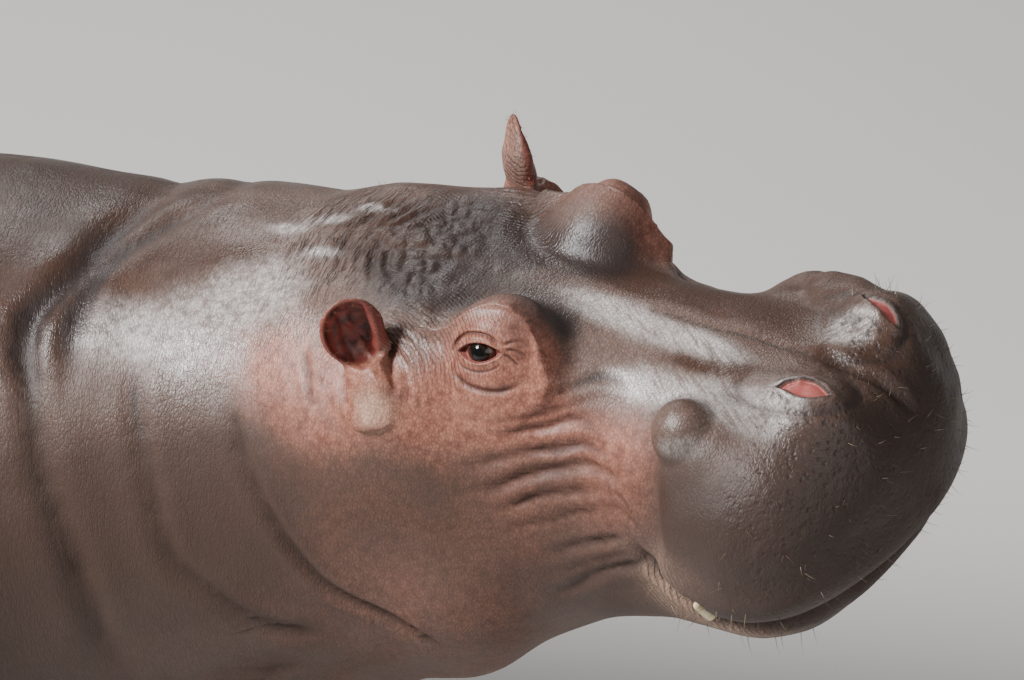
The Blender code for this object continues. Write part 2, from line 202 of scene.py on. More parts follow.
# Adds a merged copy of a CAD node to the form, a little larger, so that thin cuts close.
def nodeCopy(form, name, grow):
    one = bmesh.new()
    one.from_mesh(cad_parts[name].data)
    one.transform(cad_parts[name].matrix_world)
    bmesh.ops.remove_doubles(one, verts=one.verts, dist=0.00001)
    one.normal_update()
    for vertex in one.verts:
        vertex.co += vertex.normal * grow
    mesh = bpy.data.meshes.new("copy")
    one.to_mesh(mesh)
    one.free()
    form.from_mesh(mesh)
    bpy.data.meshes.remove(mesh)


# One closed form from copies of the nodes.
def melted(name, nodes, grow, voxel):
    form = bmesh.new()
    for node in nodes:
        nodeCopy(form, node, grow)
    piece = pieceOf(name, form)
    remeshed(piece, voxel)
    return piece


skinPlan = {
    "voxel": 0.012,
    "grow": 0.0006,
    "firstRelax": 10,
    "headRelax": 4,
    "trunkShare": 0.17,      # what is left of the faces of trunk, thighs and throat
    "trunkFront": -0.61,     # the trunk lies behind this, along the spine
    "tailRoot": -2.38,
    "throatFront": 0.05,
    "throatTop": -0.30,
    "shinTop": 0.30,
    "headZones": ((-0.12, -0.27), (-0.22, 0.0)),    # the mesh is finer ahead of the one and above the other
    "zoneReach": 0.062,      # round the eyes, nostrils, ears and crown it is finer still
    "eyeReach": 0.040,       # and finest here
}
fleshNodes = ["head", "jaw", "neck", "trunk", "tail"] + [f"leg_{p}_{s}" for p in pairs for s in sides]
fillNodes = [f"eye_{s}" for s in sides]
fillNodes += [f"nail_{p}_{s}_{k}" for p in pairs for s in sides for k in range(1, 5)]
fillNodes += [f"tusk_{s}" for s in sides]


# Parts each face whose middle is wanted into four.
def refine(mesh, wanted):
    form = bmesh.new()
    form.from_mesh(mesh)
    form.faces.ensure_lookup_table()
    edges = {edge for index in np.nonzero(wanted)[0] for edge in form.faces[index].edges}
    bmesh.ops.subdivide_edges(form, edges=list(edges), cuts=1, use_grid_fill=True)
    form.to_mesh(mesh)
    form.free()


def faceMiddles(mesh):
    middles = np.empty(len(mesh.polygons) * 3)
    mesh.polygons.foreach_get("center", middles)
    return middles.reshape(-1, 3)


# How far each place is from a path, and how far along the path that is, from 0 to 1.
def pathDistance(a, b, path):
    corners = np.array(path, dtype=float)
    steps = np.linalg.norm(np.diff(corners, axis=0), axis=1)
    best = np.full(len(a), 9.0)
    share = np.zeros(len(a))
    walked = 0.0
    for start, end, step in zip(corners[:-1], corners[1:], steps):
        way = (end - start) / step
        reach = np.clip((a - start[0]) * way[0] + (b - start[1]) * way[1], 0, step)
        away = np.hypot(a - start[0] - way[0] * reach, b - start[1] - way[1] * reach)
        nearer = away < best
        best = np.where(nearer, away, best)
        share = np.where(nearer, (walked + reach) / steps.sum(), share)
        walked += step
    return best, share


# A path in metres with its corners rounded.
def smoothPath(path, unit=1000):
    corners = [path[0]] + list(path) + [path[-1]]
    found = []
    for k in range(len(path) - 1):
        p0, p1, p2, p3 = (np.array(corners[k + j], dtype=float) / unit for j in range(4))
        for t in np.linspace(0, 1, 6, endpoint=False):
            found.append(0.5 * (2 * p1 + (p2 - p0) * t + (2 * p0 - 5 * p1 + 4 * p2 - p3) * t * t
                                + (3 * p1 - p0 - 3 * p2 + p3) * t ** 3))
    found.append(np.array(path[-1], dtype=float) / unit)
    return found


# The skin's points, with what is being raised or sunk along their normals.
class Hide:
    def __init__(self, piece):
        self.mesh = piece.data
        self.edges = readEdges(self.mesh)
        self.reload()
        self.foldShade = np.zeros(len(self.points))
        self.rim = np.zeros(len(self.points))
        self.nose = np.zeros(len(self.points))

    def reload(self):
        self.points = readPoints(self.mesh)
        self.normals = readNormals(self.mesh)
        self.spine = alongSpine(self.points)
        self.lift = np.zeros(len(self.points))

    # Moves the points, then smooths them where the weight says.
    def settle(self, rounds=0, weight=None):
        points = self.points + self.normals * self.lift[:, None]
        if rounds:
            points = relaxed(points, self.edges, rounds, weight)
        writePoints(self.mesh, points)
        self.reload()

    # Marks painted shade in a fold, crease or groove.
    def paintShade(self, amount):
        self.foldShade = np.maximum(self.foldShade, amount)

    # A groove with softly raised sides, and painted shade along it.
    def crease(self, away, width, depth, mask, shoulder=0.35, shade=1.0):
        self.lift -= depth * hump(away, width) * mask
        self.lift += shoulder * depth * hump(away - 2.3 * width, 1.2 * width) * mask
        self.paintShade(shade * hump(away, 1.1 * width) * mask)


neckRings = {
    # round the neck from -180 to 180 degrees, 0 on top and minus to the right: where, how deep
    "middleDown": 0.20,
    "dips": ((-0.405, 0.018, 0.10), (-0.60, 0.009, 0.12)),    # in the top: where, depth, half length
    "rear": {
        "angle": (-180, -130, -90, -71, -50, -43, -35, -27, -19, -11, 0, 15, 40, 70, 90, 130, 180),
        "place": (-0.34, -0.37, -0.405, -0.444, -0.463, -0.478, -0.474, -0.444, -0.422, -0.413, -0.398,
                  -0.380, -0.385, -0.43, -0.41, -0.37, -0.34),
        "depth": (3, 8, 12, 13, 16, 22, 27, 28, 25, 22, 14, 5, 5, 9, 8, 6, 3),
        "width": 0.0125,
    },
    "front": {
        "angle": (-180, -60, -48, -40, -36, -28, -15, 0, 16, 40, 60, 180),
        "place": (-0.42, -0.42, -0.415, -0.419, -0.419, -0.409, -0.386, -0.347, -0.308, -0.315,
                  -0.33, -0.33),
        "depth": (0, 0, 8, 15, 20, 21, 18, 12, 4, 4, 0, 0),
        "width": 0.0100,
    },
}

# All paths of folds are in millimetres; the other numbers are metres.
# Short wrinkles across the top of the nape, the same on both sides: forward of the ears, aside
napeFolds = (
    # path, width, depth
    (((-176, 10), (-174, 40), (-168, 72)), 0.0034, 0.0034),
    (((-166, 6), (-163, 40), (-159, 78)), 0.0038, 0.0046),
    (((-156, 12), (-153, 44), (-150, 70)), 0.0032, 0.0034),
    (((-128, 0), (-122, 34), (-108, 74)), 0.0034, 0.0036),
    (((-116, 4), (-110, 36), (-96, 80)), 0.004, 0.005),
    (((-105, 10), (-98, 40), (-84, 76)), 0.0034, 0.004),
    (((-92, 14), (-85, 42), (-72, 70)), 0.0032, 0.003),
    (((-75, 20), (-62, 52), (-40, 84)), 0.0036, 0.0022),
    (((-60, 10), (-44, 42), (-18, 74)), 0.0036, 0.002),
)

# Folds on both sides, seen from the side: forward of the ears, above the head's level
sideFolds = (
    # path, width, depth, how much its sides rise
    (((-335, 20), (-317, -37), (-289, -126), (-271, -199), (-216, -249), (-156, -295), (-58, -310)),
      0.01, 0.0085, 0.5),
    (((-199, 0), (-179, -38), (-147, -102), (-103, -168), (-51, -236), (28, -285), (85, -335)), 0.007,
      0.007, 0.5),
    (((-134, -330), (-200, -390), (-285, -446), (-346, -488)), 0.012, 0.01, 0.4),
    (((-90, 36), (-70, 15), (-56, -10)), 0.004, 0.003, 0.4),
)
cheekFolds = (
    (((115, -20), (160, -18), (205, -6), (245, -4), (285, -24)), 0.006, 0.0046, 0.4),
    (((100, -52), (150, -50), (186, -38), (225, -34), (262, -26), (300, -46)), 0.0052, 0.0048, 0.35),
    (((85, -88), (135, -90), (180, -68), (222, -58), (262, -46), (296, -58), (316, -86)), 0.0062, 0.006,
      0.35),
    (((120, -112), (170, -104), (205, -88), (240, -80), (280, -74), (302, -90)), 0.005, 0.0044, 0.4),
    (((150, -140), (200, -124), (240, -106), (272, -98), (296, -106)), 0.0042, 0.0026, 0.4),
    (((175, -182), (220, -160), (258, -142), (292, -126), (322, -118)), 0.0055, 0.005, 0.4),
    (((190, -208), (232, -184), (268, -160), (305, -140), (335, -130)), 0.0045, 0.0036, 0.4),
    (((175, -240), (215, -218), (250, -190), (290, -166), (330, -146), (352, -128)), 0.006, 0.0056,
      0.45),
    (((200, 30), (233, 30), (262, 34), (295, 30)), 0.0042, 0.0025, 0.5),
    (((85, 3), (130, -4), (180, 4), (225, 12), (270, 12)), 0.0046, 0.003, 0.5),
    (((255, -62), (285, -66), (308, -78), (326, -98)), 0.0034, 0.0022, 0.5),
    (((262, -94), (288, -86), (312, -92), (330, -112)), 0.0032, 0.0022, 0.5),
    (((268, -118), (292, -110), (315, -112)), 0.003, 0.002, 0.5),
)
lipLine = {
    "path": ((300, -112), (320, -140), (360, -168), (410, -186), (460, -190), (510, -178),
             (560, -158), (640, -146)),
    "width": 0.0075,
    "depth": 0.013,
    "overhang": 0.012,
    "tusk": (0.402, 0.199, -0.168),
}
padEdge = {
    "path": ((318, 22), (336, -12), (343, -60), (345, -110), (338, -150)),
    "width": 0.014,
    "depth": 0.007,
}


def distanceTo(x, y, z, place):
    return np.sqrt((x - place[0]) ** 2 + (y - place[1]) ** 2 + (z - place[2]) ** 2)


# Round the neck's middle, in degrees.
def neckAngle(hide):
    return np.degrees(np.arctan2(hide.spine[:, 1], hide.spine[:, 2] + neckRings["middleDown"]))


# How far each point is from a fold that runs round the neck, and the fold's depth beside it.
def ringAway(hide, ring):
    spine = hide.spine
    angle = neckAngle(hide)
    place = np.interp(angle, ring["angle"], ring["place"])
    depth = np.interp(angle, ring["angle"], ring["depth"]) * 0.001
    wander = 0.006 * softNoise(hide.points, 0.09, 5)
    return spine[:, 0] - place - wander, depth


def shapeNeck(hide):
    angle = neckAngle(hide)
    top = smoothStep(-28, 4, angle) * smoothStep(85, 50, angle)
    x = hide.spine[:, 0]
    hide.lift -= sum(depth * hump(x - place, half) for place, depth, half in neckRings["dips"]) * top
    for ring in (neckRings["rear"], neckRings["front"]):
        away, depth = ringAway(hide, ring)
        near = smoothStep(0.12, 0.08, abs(away))
        hide.lift -= depth * hump(away, ring["width"]) * near
        hide.lift += 0.38 * depth * hump(away + 2.9 * ring["width"], 2.1 * ring["width"]) * near
        hide.lift += 0.25 * depth * hump(away - 2.6 * ring["width"], 1.9 * ring["width"]) * near
        # painted shade along each fold round the neck
        wide = ring["width"] * (1.35 + 0.7 * hump(angle + 38, 14))
        hide.paintShade(np.clip(depth / 0.020, 0, 1) * hump(away, wide))
    x, y, z = hide.spine.T
    for path, width, depth, shoulder in sideFolds:
        away, share = pathDistance(x, z, smoothPath(path))
        ends = smoothStep(0, 0.12, share) * smoothStep(1, 0.85, share)
        hide.crease(away, width, depth, ends * smoothStep(0.08, 0.13, abs(y)), shoulder, 0.8)
    for path, width, depth in napeFolds:
        away, share = pathDistance(x, abs(y), smoothPath(path))
        ends = smoothStep(0, 0.3, share) * smoothStep(1, 0.7, share)
        hide.crease(away, width, depth, ends * smoothStep(0.0, 0.03, z), 0.5, 0.5)
    hide.settle(2, hump(x + 0.4, 0.25))


def shapeCheeks(hide):
    x, y, z = hide.spine.T
    outer = smoothStep(0.07, 0.10, abs(y))
    sway = 0.0035 * softNoise(hide.points, 0.030, 17)
    uneven = 0.8 + 0.4 * softNoise(hide.points, 0.03, 18)
    for path, width, depth, shoulder in cheekFolds:
        away, share = pathDistance(x, z + sway, smoothPath(path))
        ends = smoothStep(0, 0.35, share) * smoothStep(1, 0.75, share) * uneven
        hide.crease(away, width, depth, ends * outer, shoulder, 0.8)
    away, share = pathDistance(x, z, smoothPath(padEdge["path"]))
    ends = outer * smoothStep(0, 0.2, share) * smoothStep(1, 0.8, share)
    hide.crease(away, padEdge["width"], padEdge["depth"], ends, 0.5, 0.35)
    # a crease runs along the middle of the snout and deepens between the nostrils, with painted shade along
    # it
    along = smoothStep(0.22, 0.30, x) * smoothStep(0.60, 0.55, x) * smoothStep(-0.05, 0, z)
    deep = 0.0022 + 0.006 * smoothStep(0.43, 0.50, x)
    middle = y - 0.0015 * np.sin(x * 70)
    hide.lift -= deep * hump(middle, 0.0055 + 0.004 * smoothStep(0.43, 0.5, x)) * along
    hide.lift += 0.4 * deep * hump(abs(middle) - 0.015, 0.008) * along
    hide.paintShade(0.7 * hump(middle, 0.004) * along)
    hide.settle()


def shapeMouth(hide):
    x, y, z = hide.spine.T
    away, share = pathDistance(x, z, smoothPath(lipLine["path"]))
    level = np.interp(x, *(np.array(lipLine["path"]) / 1000).T)
    ahead = smoothStep(0.288, 0.340, x)
    hide.lift -= lipLine["depth"] * hump(away, lipLine["width"]) * ahead
    above = z - level
    hide.lift += lipLine["overhang"] * hump(above - 0.030, 0.024) * ahead * smoothStep(0.33, 0.37, x)
    hide.lift += 0.006 * hump(above + 0.020, 0.012) * ahead
    # painted shade along the mouth line
    hide.paintShade(hump(away, lipLine["width"]) * ahead)
    hide.settle(1, ahead)
    # a small pocket round the tip of each lower tusk
    x, y, z = hide.spine.T
    tip = distanceTo(x, abs(y), z, lipLine["tusk"])
    hide.lift -= 0.0065 * np.exp(-(tip / 0.016) ** 4)
    hide.rim = np.maximum(hide.rim, 0.5 * hump(tip, 0.014))
    hide.settle()


eyePlan = {
    "look": (0.08, 0.94, 0.33),     # forward, outward, up
    "tilt": 9,                      # the front corner is higher than the rear one
    "ball": 0.0190,
    "lid": 0.0032,
    "halfWidth": 0.0270,
    "upperHeight": 0.0112,
    "lowerHeight": 0.0102,
    "creases": (
        # path in metres forward and up of the eye; width, depth, rise of its sides, share that fades
        (((-0.037, -0.006), (-0.0308, 0.0085), (-0.019, 0.018), (-0.0067, 0.0213), (0.009, 0.0203),
          (0.0219, 0.0125), (0.029, 0.006)), 0.0019, 0.0034, 0.5, 0.18),
        (((-0.03, -0.008), (-0.02, -0.017), (-0.002, -0.0205), (0.016, -0.0175), (0.029, -0.0085)),
         0.0018, 0.0011, 0.1, 0.18),
        (((-0.038, 0), (-0.038, -0.017), (-0.024, -0.034), (-0.005, -0.0417), (0.02, -0.044),
          (0.04, -0.037), (0.06, -0.03)), 0.0040, 0.0042, 0.1, 0.36),
        (((0.0275, -0.001), (0.035, -0.006), (0.043, -0.017)), 0.0016, 0.0018, 0.5, 0.18),
        (((0.029, 0.003), (0.04, 0.002), (0.052, -0.006)), 0.0016, 0.0018, 0.5, 0.18),
        (((0.03, 0.009), (0.043, 0.012), (0.052, 0.01)), 0.0016, 0.0018, 0.5, 0.18),
    ),
}


def eyeAxes(sign):
    look = Vector((eyePlan["look"][0], sign * eyePlan["look"][1], eyePlan["look"][2])).normalized()
    ahead = Vector((1, 0, 0))
    ahead = (ahead - look * ahead.dot(look)).normalized()
    above = Vector((0, 0, 1))
    above = (above - look * above.dot(look) - ahead * above.dot(ahead)).normalized()
    tilt = math.radians(eyePlan["tilt"])
    return (ahead * math.cos(tilt) + above * math.sin(tilt),
            above * math.cos(tilt) - ahead * math.sin(tilt), look)


def eyeSeat(sign):
    return Vector((stance["eyeForward"], sign * stance["eyeAside"], stance["eyeAbove"]))


# Turns head directions into world ones.
def intoWorld(vectors):
    turn = np.array([list(forward), list(left), list(up)])
    return vectors @ turn


# Each point as seen along three axes from a seat on the head.
def inFrame(hide, seat, axes):
    away = hide.spine - np.array(seat)
    return tuple(away @ np.array(axis) for axis in axes)


def shapeEye(hide, sign):
    axes = eyeAxes(sign)
    a, b, c = inFrame(hide, eyeSeat(sign), axes)
    reach = np.hypot(a, b)
    near = (reach < 0.085) & (c > -0.02) & (c < 0.06)
    ball = eyePlan["ball"]
    dome = (ball + eyePlan["lid"]) * np.exp(-(reach / 0.0286) ** 2)
    soft = 0.0018
    raised = np.where(near, c + soft * np.log1p(np.exp(np.clip((dome - c) / soft, -30, 30))), c)
    half = np.clip(1 - (abs(a) / eyePlan["halfWidth"]) ** 2.1, 0, None)
    lid = np.maximum(b - eyePlan["upperHeight"] * half, -b - eyePlan["lowerHeight"] * half)
    lid = np.where(abs(a) > eyePlan["halfWidth"], np.hypot(lid, abs(a) - eyePlan["halfWidth"]), lid)
    behind = np.sqrt(np.clip((ball - 0.003) ** 2 - reach ** 2, 0, None))
    pocket = np.maximum(behind, dome - 0.0075)
    opened = smoothStep(0.0007, -0.0013, lid) * near
    outside = smoothStep(-0.0005, 0.002, lid) * near
    raised = raised + 0.0011 * hump(lid - 0.0020, 0.0016) * outside
    for path, width, depth, shoulder, fade in eyePlan["creases"]:
        away, share = pathDistance(a, b, smoothPath(path, 1))
        ends = smoothStep(0, fade, share) * smoothStep(1, 1 - fade, share) * near * outside
        # painted shade in each crease round the eye
        hide.paintShade(0.9 * hump(away, width) * ends)
        side = shoulder * depth * hump(away - 2.2 * width, 1.3 * width)
        raised = raised + ends * (side - depth * hump(away, width))
    raised = raised + 0.0035 * hump(np.hypot(a, (b + 0.030) * 1.6), 0.024) * near
    raised = raised + 0.0030 * hump(np.hypot(a * 0.6, b - 0.031), 0.012) * near
    raised = raised * (1 - opened) + np.minimum(raised, pocket) * opened
    hide.rim = np.maximum(hide.rim, np.maximum(opened, hump(lid, 0.0016) * near))
    shift = intoWorld(np.outer(raised - c, np.array(axes[2])))
    hide.points += np.where(near[:, None], shift, 0)
    hide.lift[:] = 0
    hide.settle(1, near * (1 - np.clip(hump(lid, 0.003), 0, 1)))


nosePlan = {
    "seat": {"right": (0.497, -0.084, 0.069), "left": (0.508, 0.081, 0.066)},    # middle of the slit
    "slant": {"right": (0.050, 0.008, -0.009), "left": (0.050, -0.027, -0.022)},    # from its rear end
    "lean": 0.42,                      # how far its mouth faces outwards
    "moundBehind": 0.014,
    "moundInward": {"right": 0.014, "left": 0.022},
    "halfLength": 0.0300,
    "halfWidth": {"right": 0.0125, "left": 0.0100},
    "depth": 0.0058,
}


def noseAxes(side):
    sign = sides[side]
    along = Vector(nosePlan["slant"][side]).normalized()
    out = Vector((0.05, sign * nosePlan["lean"], 0.92))
    out = (out - along * out.dot(along)).normalized()
    return along, out.cross(along), out


def shapeNostril(hide, side):
    sign = sides[side]
    seat = Vector(nosePlan["seat"][side])
    wide = nosePlan["halfWidth"][side]
    axes = noseAxes(side)
    a, b, c = inFrame(hide, seat, axes)
    near = (abs(c) < 0.05) & (np.hypot(a, b) < 0.10)
    half = np.clip(1 - (abs(a) / nosePlan["halfLength"]) ** 2.0, 0, None)
    slit = abs(b) - wide * half
    slit = np.where(abs(a) > nosePlan["halfLength"], np.hypot(slit, abs(a) - nosePlan["halfLength"]), slit)
    inward = -sign * b
    mound = np.hypot((a + nosePlan["moundBehind"]) / 0.050, (inward - nosePlan["moundInward"][side]) / 0.033)
    ripple = 1 + 0.45 * softNoise(hide.points, 0.011, 21) + 0.2 * softNoise(hide.points, 0.006, 22)
    lift = 0.0065 * hump(mound, 0.95) * ripple
    rear = smoothStep(0.02, -0.03, a)
    rim = 0.0012 + 0.0030 * smoothStep(-0.004, 0.006, inward) + 0.0025 * rear
    lift += rim * hump(slit - 0.0045, 0.0042)
    lift -= 0.0040 * hump(mound - 1.35, 0.20)
    sunk = smoothStep(0.0014, -0.0030, slit)
    flesh = hump(b + sign * 0.001, 0.0085) * half      # the flap that closes the nostril fills most of it
    lift -= (nosePlan["depth"] - 0.0030 * flesh) * sunk
    lift -= 0.0012 * hump(b - sign * 0.0015 - 0.001 * np.sin(a * 160), 0.0012) * half
    hide.nose = np.maximum(hide.nose, sunk * near)
    # painted shade round the nostril's mound, at the slit's edge and in the hollows of its ripples
    hide.paintShade(0.6 * hump(mound - 1.35, 0.15) * near)
    hide.paintShade(hump(slit - 0.0010, 0.0016) * near)
    hollows = smoothStep(1.25, 0.7, ripple) * hump(mound, 0.9)
    hide.paintShade(0.55 * hollows * near * (slit > 0.004))
    hide.points += np.where(near[:, None], intoWorld(np.outer(lift, np.array(axes[2]))), 0)
    hide.lift[:] = 0
    hide.settle(1, near * 0.35)


browPlan = {
    "dome": (0.138, 0.122, 0.082),
    "domeSize": 0.050,
    "domeRise": 0.008,
    "swellings": (
        # over the tusks' roots, behind the nostrils and on the far brow: middle (left is plus), size, rise,
        # how deep a ring lies round it; the right tusk's root is more swollen
        ((0.370, -0.143, 0.029), 0.034, 0.0090, 1.0),
        ((0.374, 0.146, 0.050), 0.028, -0.0120, 0.0),
        ((0.430, 0.134, 0.044), 0.036, 0.0120, 0.3),
        ((0.470, 0.150, 0.036), 0.052, 0.0110, 0.0),
        ((0.520, 0.150, 0.016), 0.052, 0.0110, 0.0),
        ((0.500, -0.150, 0.020), 0.055, 0.0040, 0.0),
        ((0.160, 0.144, 0.096), 0.034, 0.0120, 0.0),
    ),
}


# The dome round each eye and the other swellings of the head.
def shapeSwellings(hide):
    x, y, z = hide.spine.T
    for place, size, rise, groove in browPlan["swellings"]:
        root = distanceTo(x, y, z, place)
        hide.lift += rise * np.exp(-(root / size) ** 4)
        # a groove round each swelling, deeper at its rear, with painted shade in it
        ring = hump(root - 1.32 * size, 0.0065) * groove
        rear = smoothStep(0.02, -0.02, x - place[0] - 0.4 * (z - place[2]))
        hide.lift -= (0.003 + 0.003 * rear) * ring
        hide.paintShade((0.25 + 0.3 * rear) * ring)
    dome = distanceTo(x, abs(y), z, browPlan["dome"])
    hide.lift += browPlan["domeRise"] * hump(dome, browPlan["domeSize"])
    inside = smoothStep(0.03, 0.05, z) * smoothStep(0.125, 0.10, abs(y))
    hide.lift -= 0.006 * hump(dome - 0.082, 0.018) * inside
    hide.settle()


crownPlan = {
    "earRoot": (0.005, 0.205, 0.030),
    "ringSpacing": 0.0105,
    "ringHeight": 0.0008,
    "crumples": ((0.020, 0.0029, 50), (0.0115, 0.0017, 51)),    # size, depth, seed
    "crownCreaseShade": 0.48,
}


# Rings of wrinkles in front of each ear and above it.
def shapeEarRoot(hide):
    x, y, z = hide.spine.T
    away = distanceTo(x, abs(y), z, crownPlan["earRoot"])
    bend = away + 0.006 * softNoise(hide.points, 0.030, 8)
    ahead = smoothStep(-0.010, 0.020, x - 0.020 + 0.5 * (0.20 - abs(y)))
    band = smoothStep(0.052, 0.066, away) * smoothStep(0.150, 0.105, away)
    band *= ahead * smoothStep(-0.03, 0.0, z)
    wave = np.sin(bend * 2 * math.pi / crownPlan["ringSpacing"])
    hide.lift += crownPlan["ringHeight"] * wave * band
    # painted shade in the troughs between the rings
    hide.paintShade(0.45 * smoothStep(0.3, 1.0, -wave) * band)
    hide.lift -= 0.004 * hump(away - 0.056, 0.007) * smoothStep(-0.06, -0.02, z)
    # the crown between the ears is crumpled, with painted shade in its crumples
    crown = hump(np.hypot((x + 0.035) / 0.105, y / 0.095), 1.0) * smoothStep(0.03, 0.06, z)
    for size, depth, seed in crownPlan["crumples"]:
        line = softNoise(hide.points * np.array((1.35, 0.8, 1.0)), size, seed)
        hide.lift += depth * (0.5 - hump(line, 0.24)) * crown
        hide.paintShade(crownPlan["crownCreaseShade"] * hump(line, 0.18) * crown)
    hide.settle(1, crown)


# Folds on both sides of trunk and legs, along the spine and up: path, width, depth
bodyFolds = (
    (((-620, -420), (-660, -300), (-720, -160), (-800, -50)), 0.022, 0.013),
    (((-700, -360), (-760, -240), (-830, -130)), 0.02, 0.009),
    (((-520, -550), (-560, -480), (-640, -430), (-740, -420)), 0.018, 0.012),
    (((-560, -640), (-600, -560), (-700, -510), (-800, -520)), 0.018, 0.01),
    (((-950, -780), (-1020, -680), (-1100, -600), (-1160, -560)), 0.022, 0.016),
    (((-960, -640), (-1050, -560), (-1120, -470)), 0.02, 0.01),
    (((-1760, -800), (-1720, -700), (-1660, -580), (-1580, -470), (-1520, -400)), 0.024, 0.017),
    (((-1700, -500), (-1660, -400), (-1600, -300)), 0.024, 0.008),
    (((-2120, -520), (-2060, -420), (-1980, -300), (-1940, -180)), 0.024, 0.01),
    (((-2280, -560), (-2220, -480), (-2120, -440), (-2000, -450)), 0.022, 0.01),
    (((-2320, -380), (-2260, -300), (-2160, -260)), 0.022, 0.007),
)


# height and depth
ankleRings = ((0.290, 0.0035), (0.242, 0.005), (0.200, 0.006), (0.165, 0.007), (0.135, 0.005))
toePlan = {
    "heelBack": 0.075,       # from the middle of the nails to the middle of the foot
    "above": 0.026,
    "rise": 0.0070,
    "size": 0.027,
    "gapWidth": 0.0095,
    "gapDepth": 0.0120,
    "reach": 0.062,          # how far round each nail the mesh is finer
    "sole": 0.004,
}


# The middles of the four nails of each foot.
def toeRows():
    return [[middleOf(f"nail_{p}_{s}_{k}") for k in range(1, 5)] for p in pairs for s in sides]


def shapeBody(hide):
    x, y, z = hide.spine.T
    sway = 0.020 * softNoise(hide.points, 0.14, 30)
    for path, width, depth in bodyFolds:
        away, share = pathDistance(x + sway, z + 0.5 * sway, smoothPath(path))
        ends = smoothStep(0, 0.25, share) * smoothStep(1, 0.75, share) * smoothStep(0.12, 0.18, abs(y))
        hide.crease(away, width, depth, ends, 0.4, 0.5)
    # broken rings round the ankles, then ribs and an uneven back
    height = hide.points[:, 2]
    low = smoothStep(0.36, 0.28, height)
    wobble = 0.022 * softNoise(hide.points, 0.09, 31)
    broken = 0.55 + 0.65 * softNoise(hide.points, 0.08, 34)
    for level, depth in ankleRings:
        hide.crease(height - level - wobble, 0.0075, depth, low * np.clip(broken, 0, 1.2), 0.5, 0.5)
    trunk = smoothStep(-0.5, -0.7, x)
    flank = trunk * smoothStep(-2.3, -2.1, x) * smoothStep(0.20, 0.30, abs(y)) * smoothStep(-0.62, -0.45, z)
    hide.lift += 0.0030 * np.sin(x * 2 * math.pi / 0.105 + 2 * softNoise(hide.points, 0.2, 33)) * flank
    hide.lift -= 0.010 * hump(y, 0.030) * trunk * smoothStep(-0.05, 0.05, z) * smoothStep(-2.3, -2.1, x)
    hide.lift += 0.0060 * softNoise(hide.points, 0.17, 40) * trunk
    flatter = np.array((1.0, 1.0, 0.45))
    hide.lift += 0.0032 * softNoise(hide.points * flatter, 0.052, 42) * trunk
    hide.lift += 0.0012 * softNoise(hide.points, 0.05, 41)
    hide.settle()


# Toes stand out round their nails, with grooves between them and painted shade in the grooves.
def shapeToes(hide):
    low = smoothStep(0.115, 0.070, hide.points[:, 2])
    for nails in toeRows():
        heel = sum(nails, Vector()) / len(nails) - Vector((toePlan["heelBack"], 0, 0))
        for nail in nails:
            top = np.array(nail + (heel - nail) * 0.15)
            top[2] += toePlan["above"]
            hide.lift += toePlan["rise"] * hump(np.linalg.norm(hide.points - top, axis=1), toePlan["size"])
        for one, other in zip(nails[:-1], nails[1:]):
            way = ((one + other) / 2 - heel).xy.normalized()
            away = hide.points[:, :2] - np.array(heel.xy)
            along = away @ np.array(way)
            across = away @ np.array((-way.y, way.x))
            gap = hump(across, toePlan["gapWidth"]) * smoothStep(0.030, 0.065, along) * low * (along < 0.16)
            hide.lift -= toePlan["gapDepth"] * gap
            hide.paintShade(0.7 * gap)
    hide.settle()


def rawSkin():
    skin = melted("skin", fleshNodes + fillNodes, skinPlan["grow"], skinPlan["voxel"])
    mesh = skin.data
    relax(mesh, skinPlan["firstRelax"])
    points = readPoints(mesh)
    spine = alongSpine(points)
    throat = (spine[:, 2] < skinPlan["throatTop"]) & (spine[:, 0] < skinPlan["throatFront"])
    coarse = (spine[:, 0] < skinPlan["trunkFront"]) | throat
    coarse &= (spine[:, 0] > skinPlan["tailRoot"]) & (points[:, 2] > skinPlan["shinTop"])
    group = skin.vertex_groups.new(name="coarse")
    group.add([int(index) for index in np.nonzero(coarse)[0]], 1.0, "REPLACE")
    thin = skin.modifiers.new("Fewer faces", "DECIMATE")
    thin.vertex_group = "coarse"
    thin.ratio = 1 - coarse.mean() * (1 - skinPlan["trunkShare"])
    mesh = settled(skin)
    skin.vertex_groups.clear()
    spine = alongSpine(faceMiddles(mesh))
    head = [(spine[:, 0] > front) & (spine[:, 2] > level) for front, level in skinPlan["headZones"]]
    refine(mesh, np.any(head, axis=0))
    places = faceMiddles(mesh)
    nails = [np.array(nail) for row in toeRows() for nail in row]
    near = [np.linalg.norm(places - nail, axis=1) < toePlan["reach"] for nail in nails]
    refine(mesh, np.any(near, axis=0) & (places[:, 2] > toePlan["sole"]))
    relax(mesh, skinPlan["headRelax"])
    return skin


# Whether each point is in one of the zones, on either side.
def inZones(points, zones, reach):
    spine = alongSpine(points)
    spine[:, 1] = abs(spine[:, 1])
    near = [np.linalg.norm(spine - np.array(zone), axis=1) < reach * factor for zone, factor in zones]
    return np.any(near, axis=0)


def finerZones(skin, zones, reach):
    refine(skin.data, inZones(faceMiddles(skin.data), zones, reach))
    relax(skin.data, 3, inZones(readPoints(skin.data), zones, reach).astype(float))


skin = rawSkin()
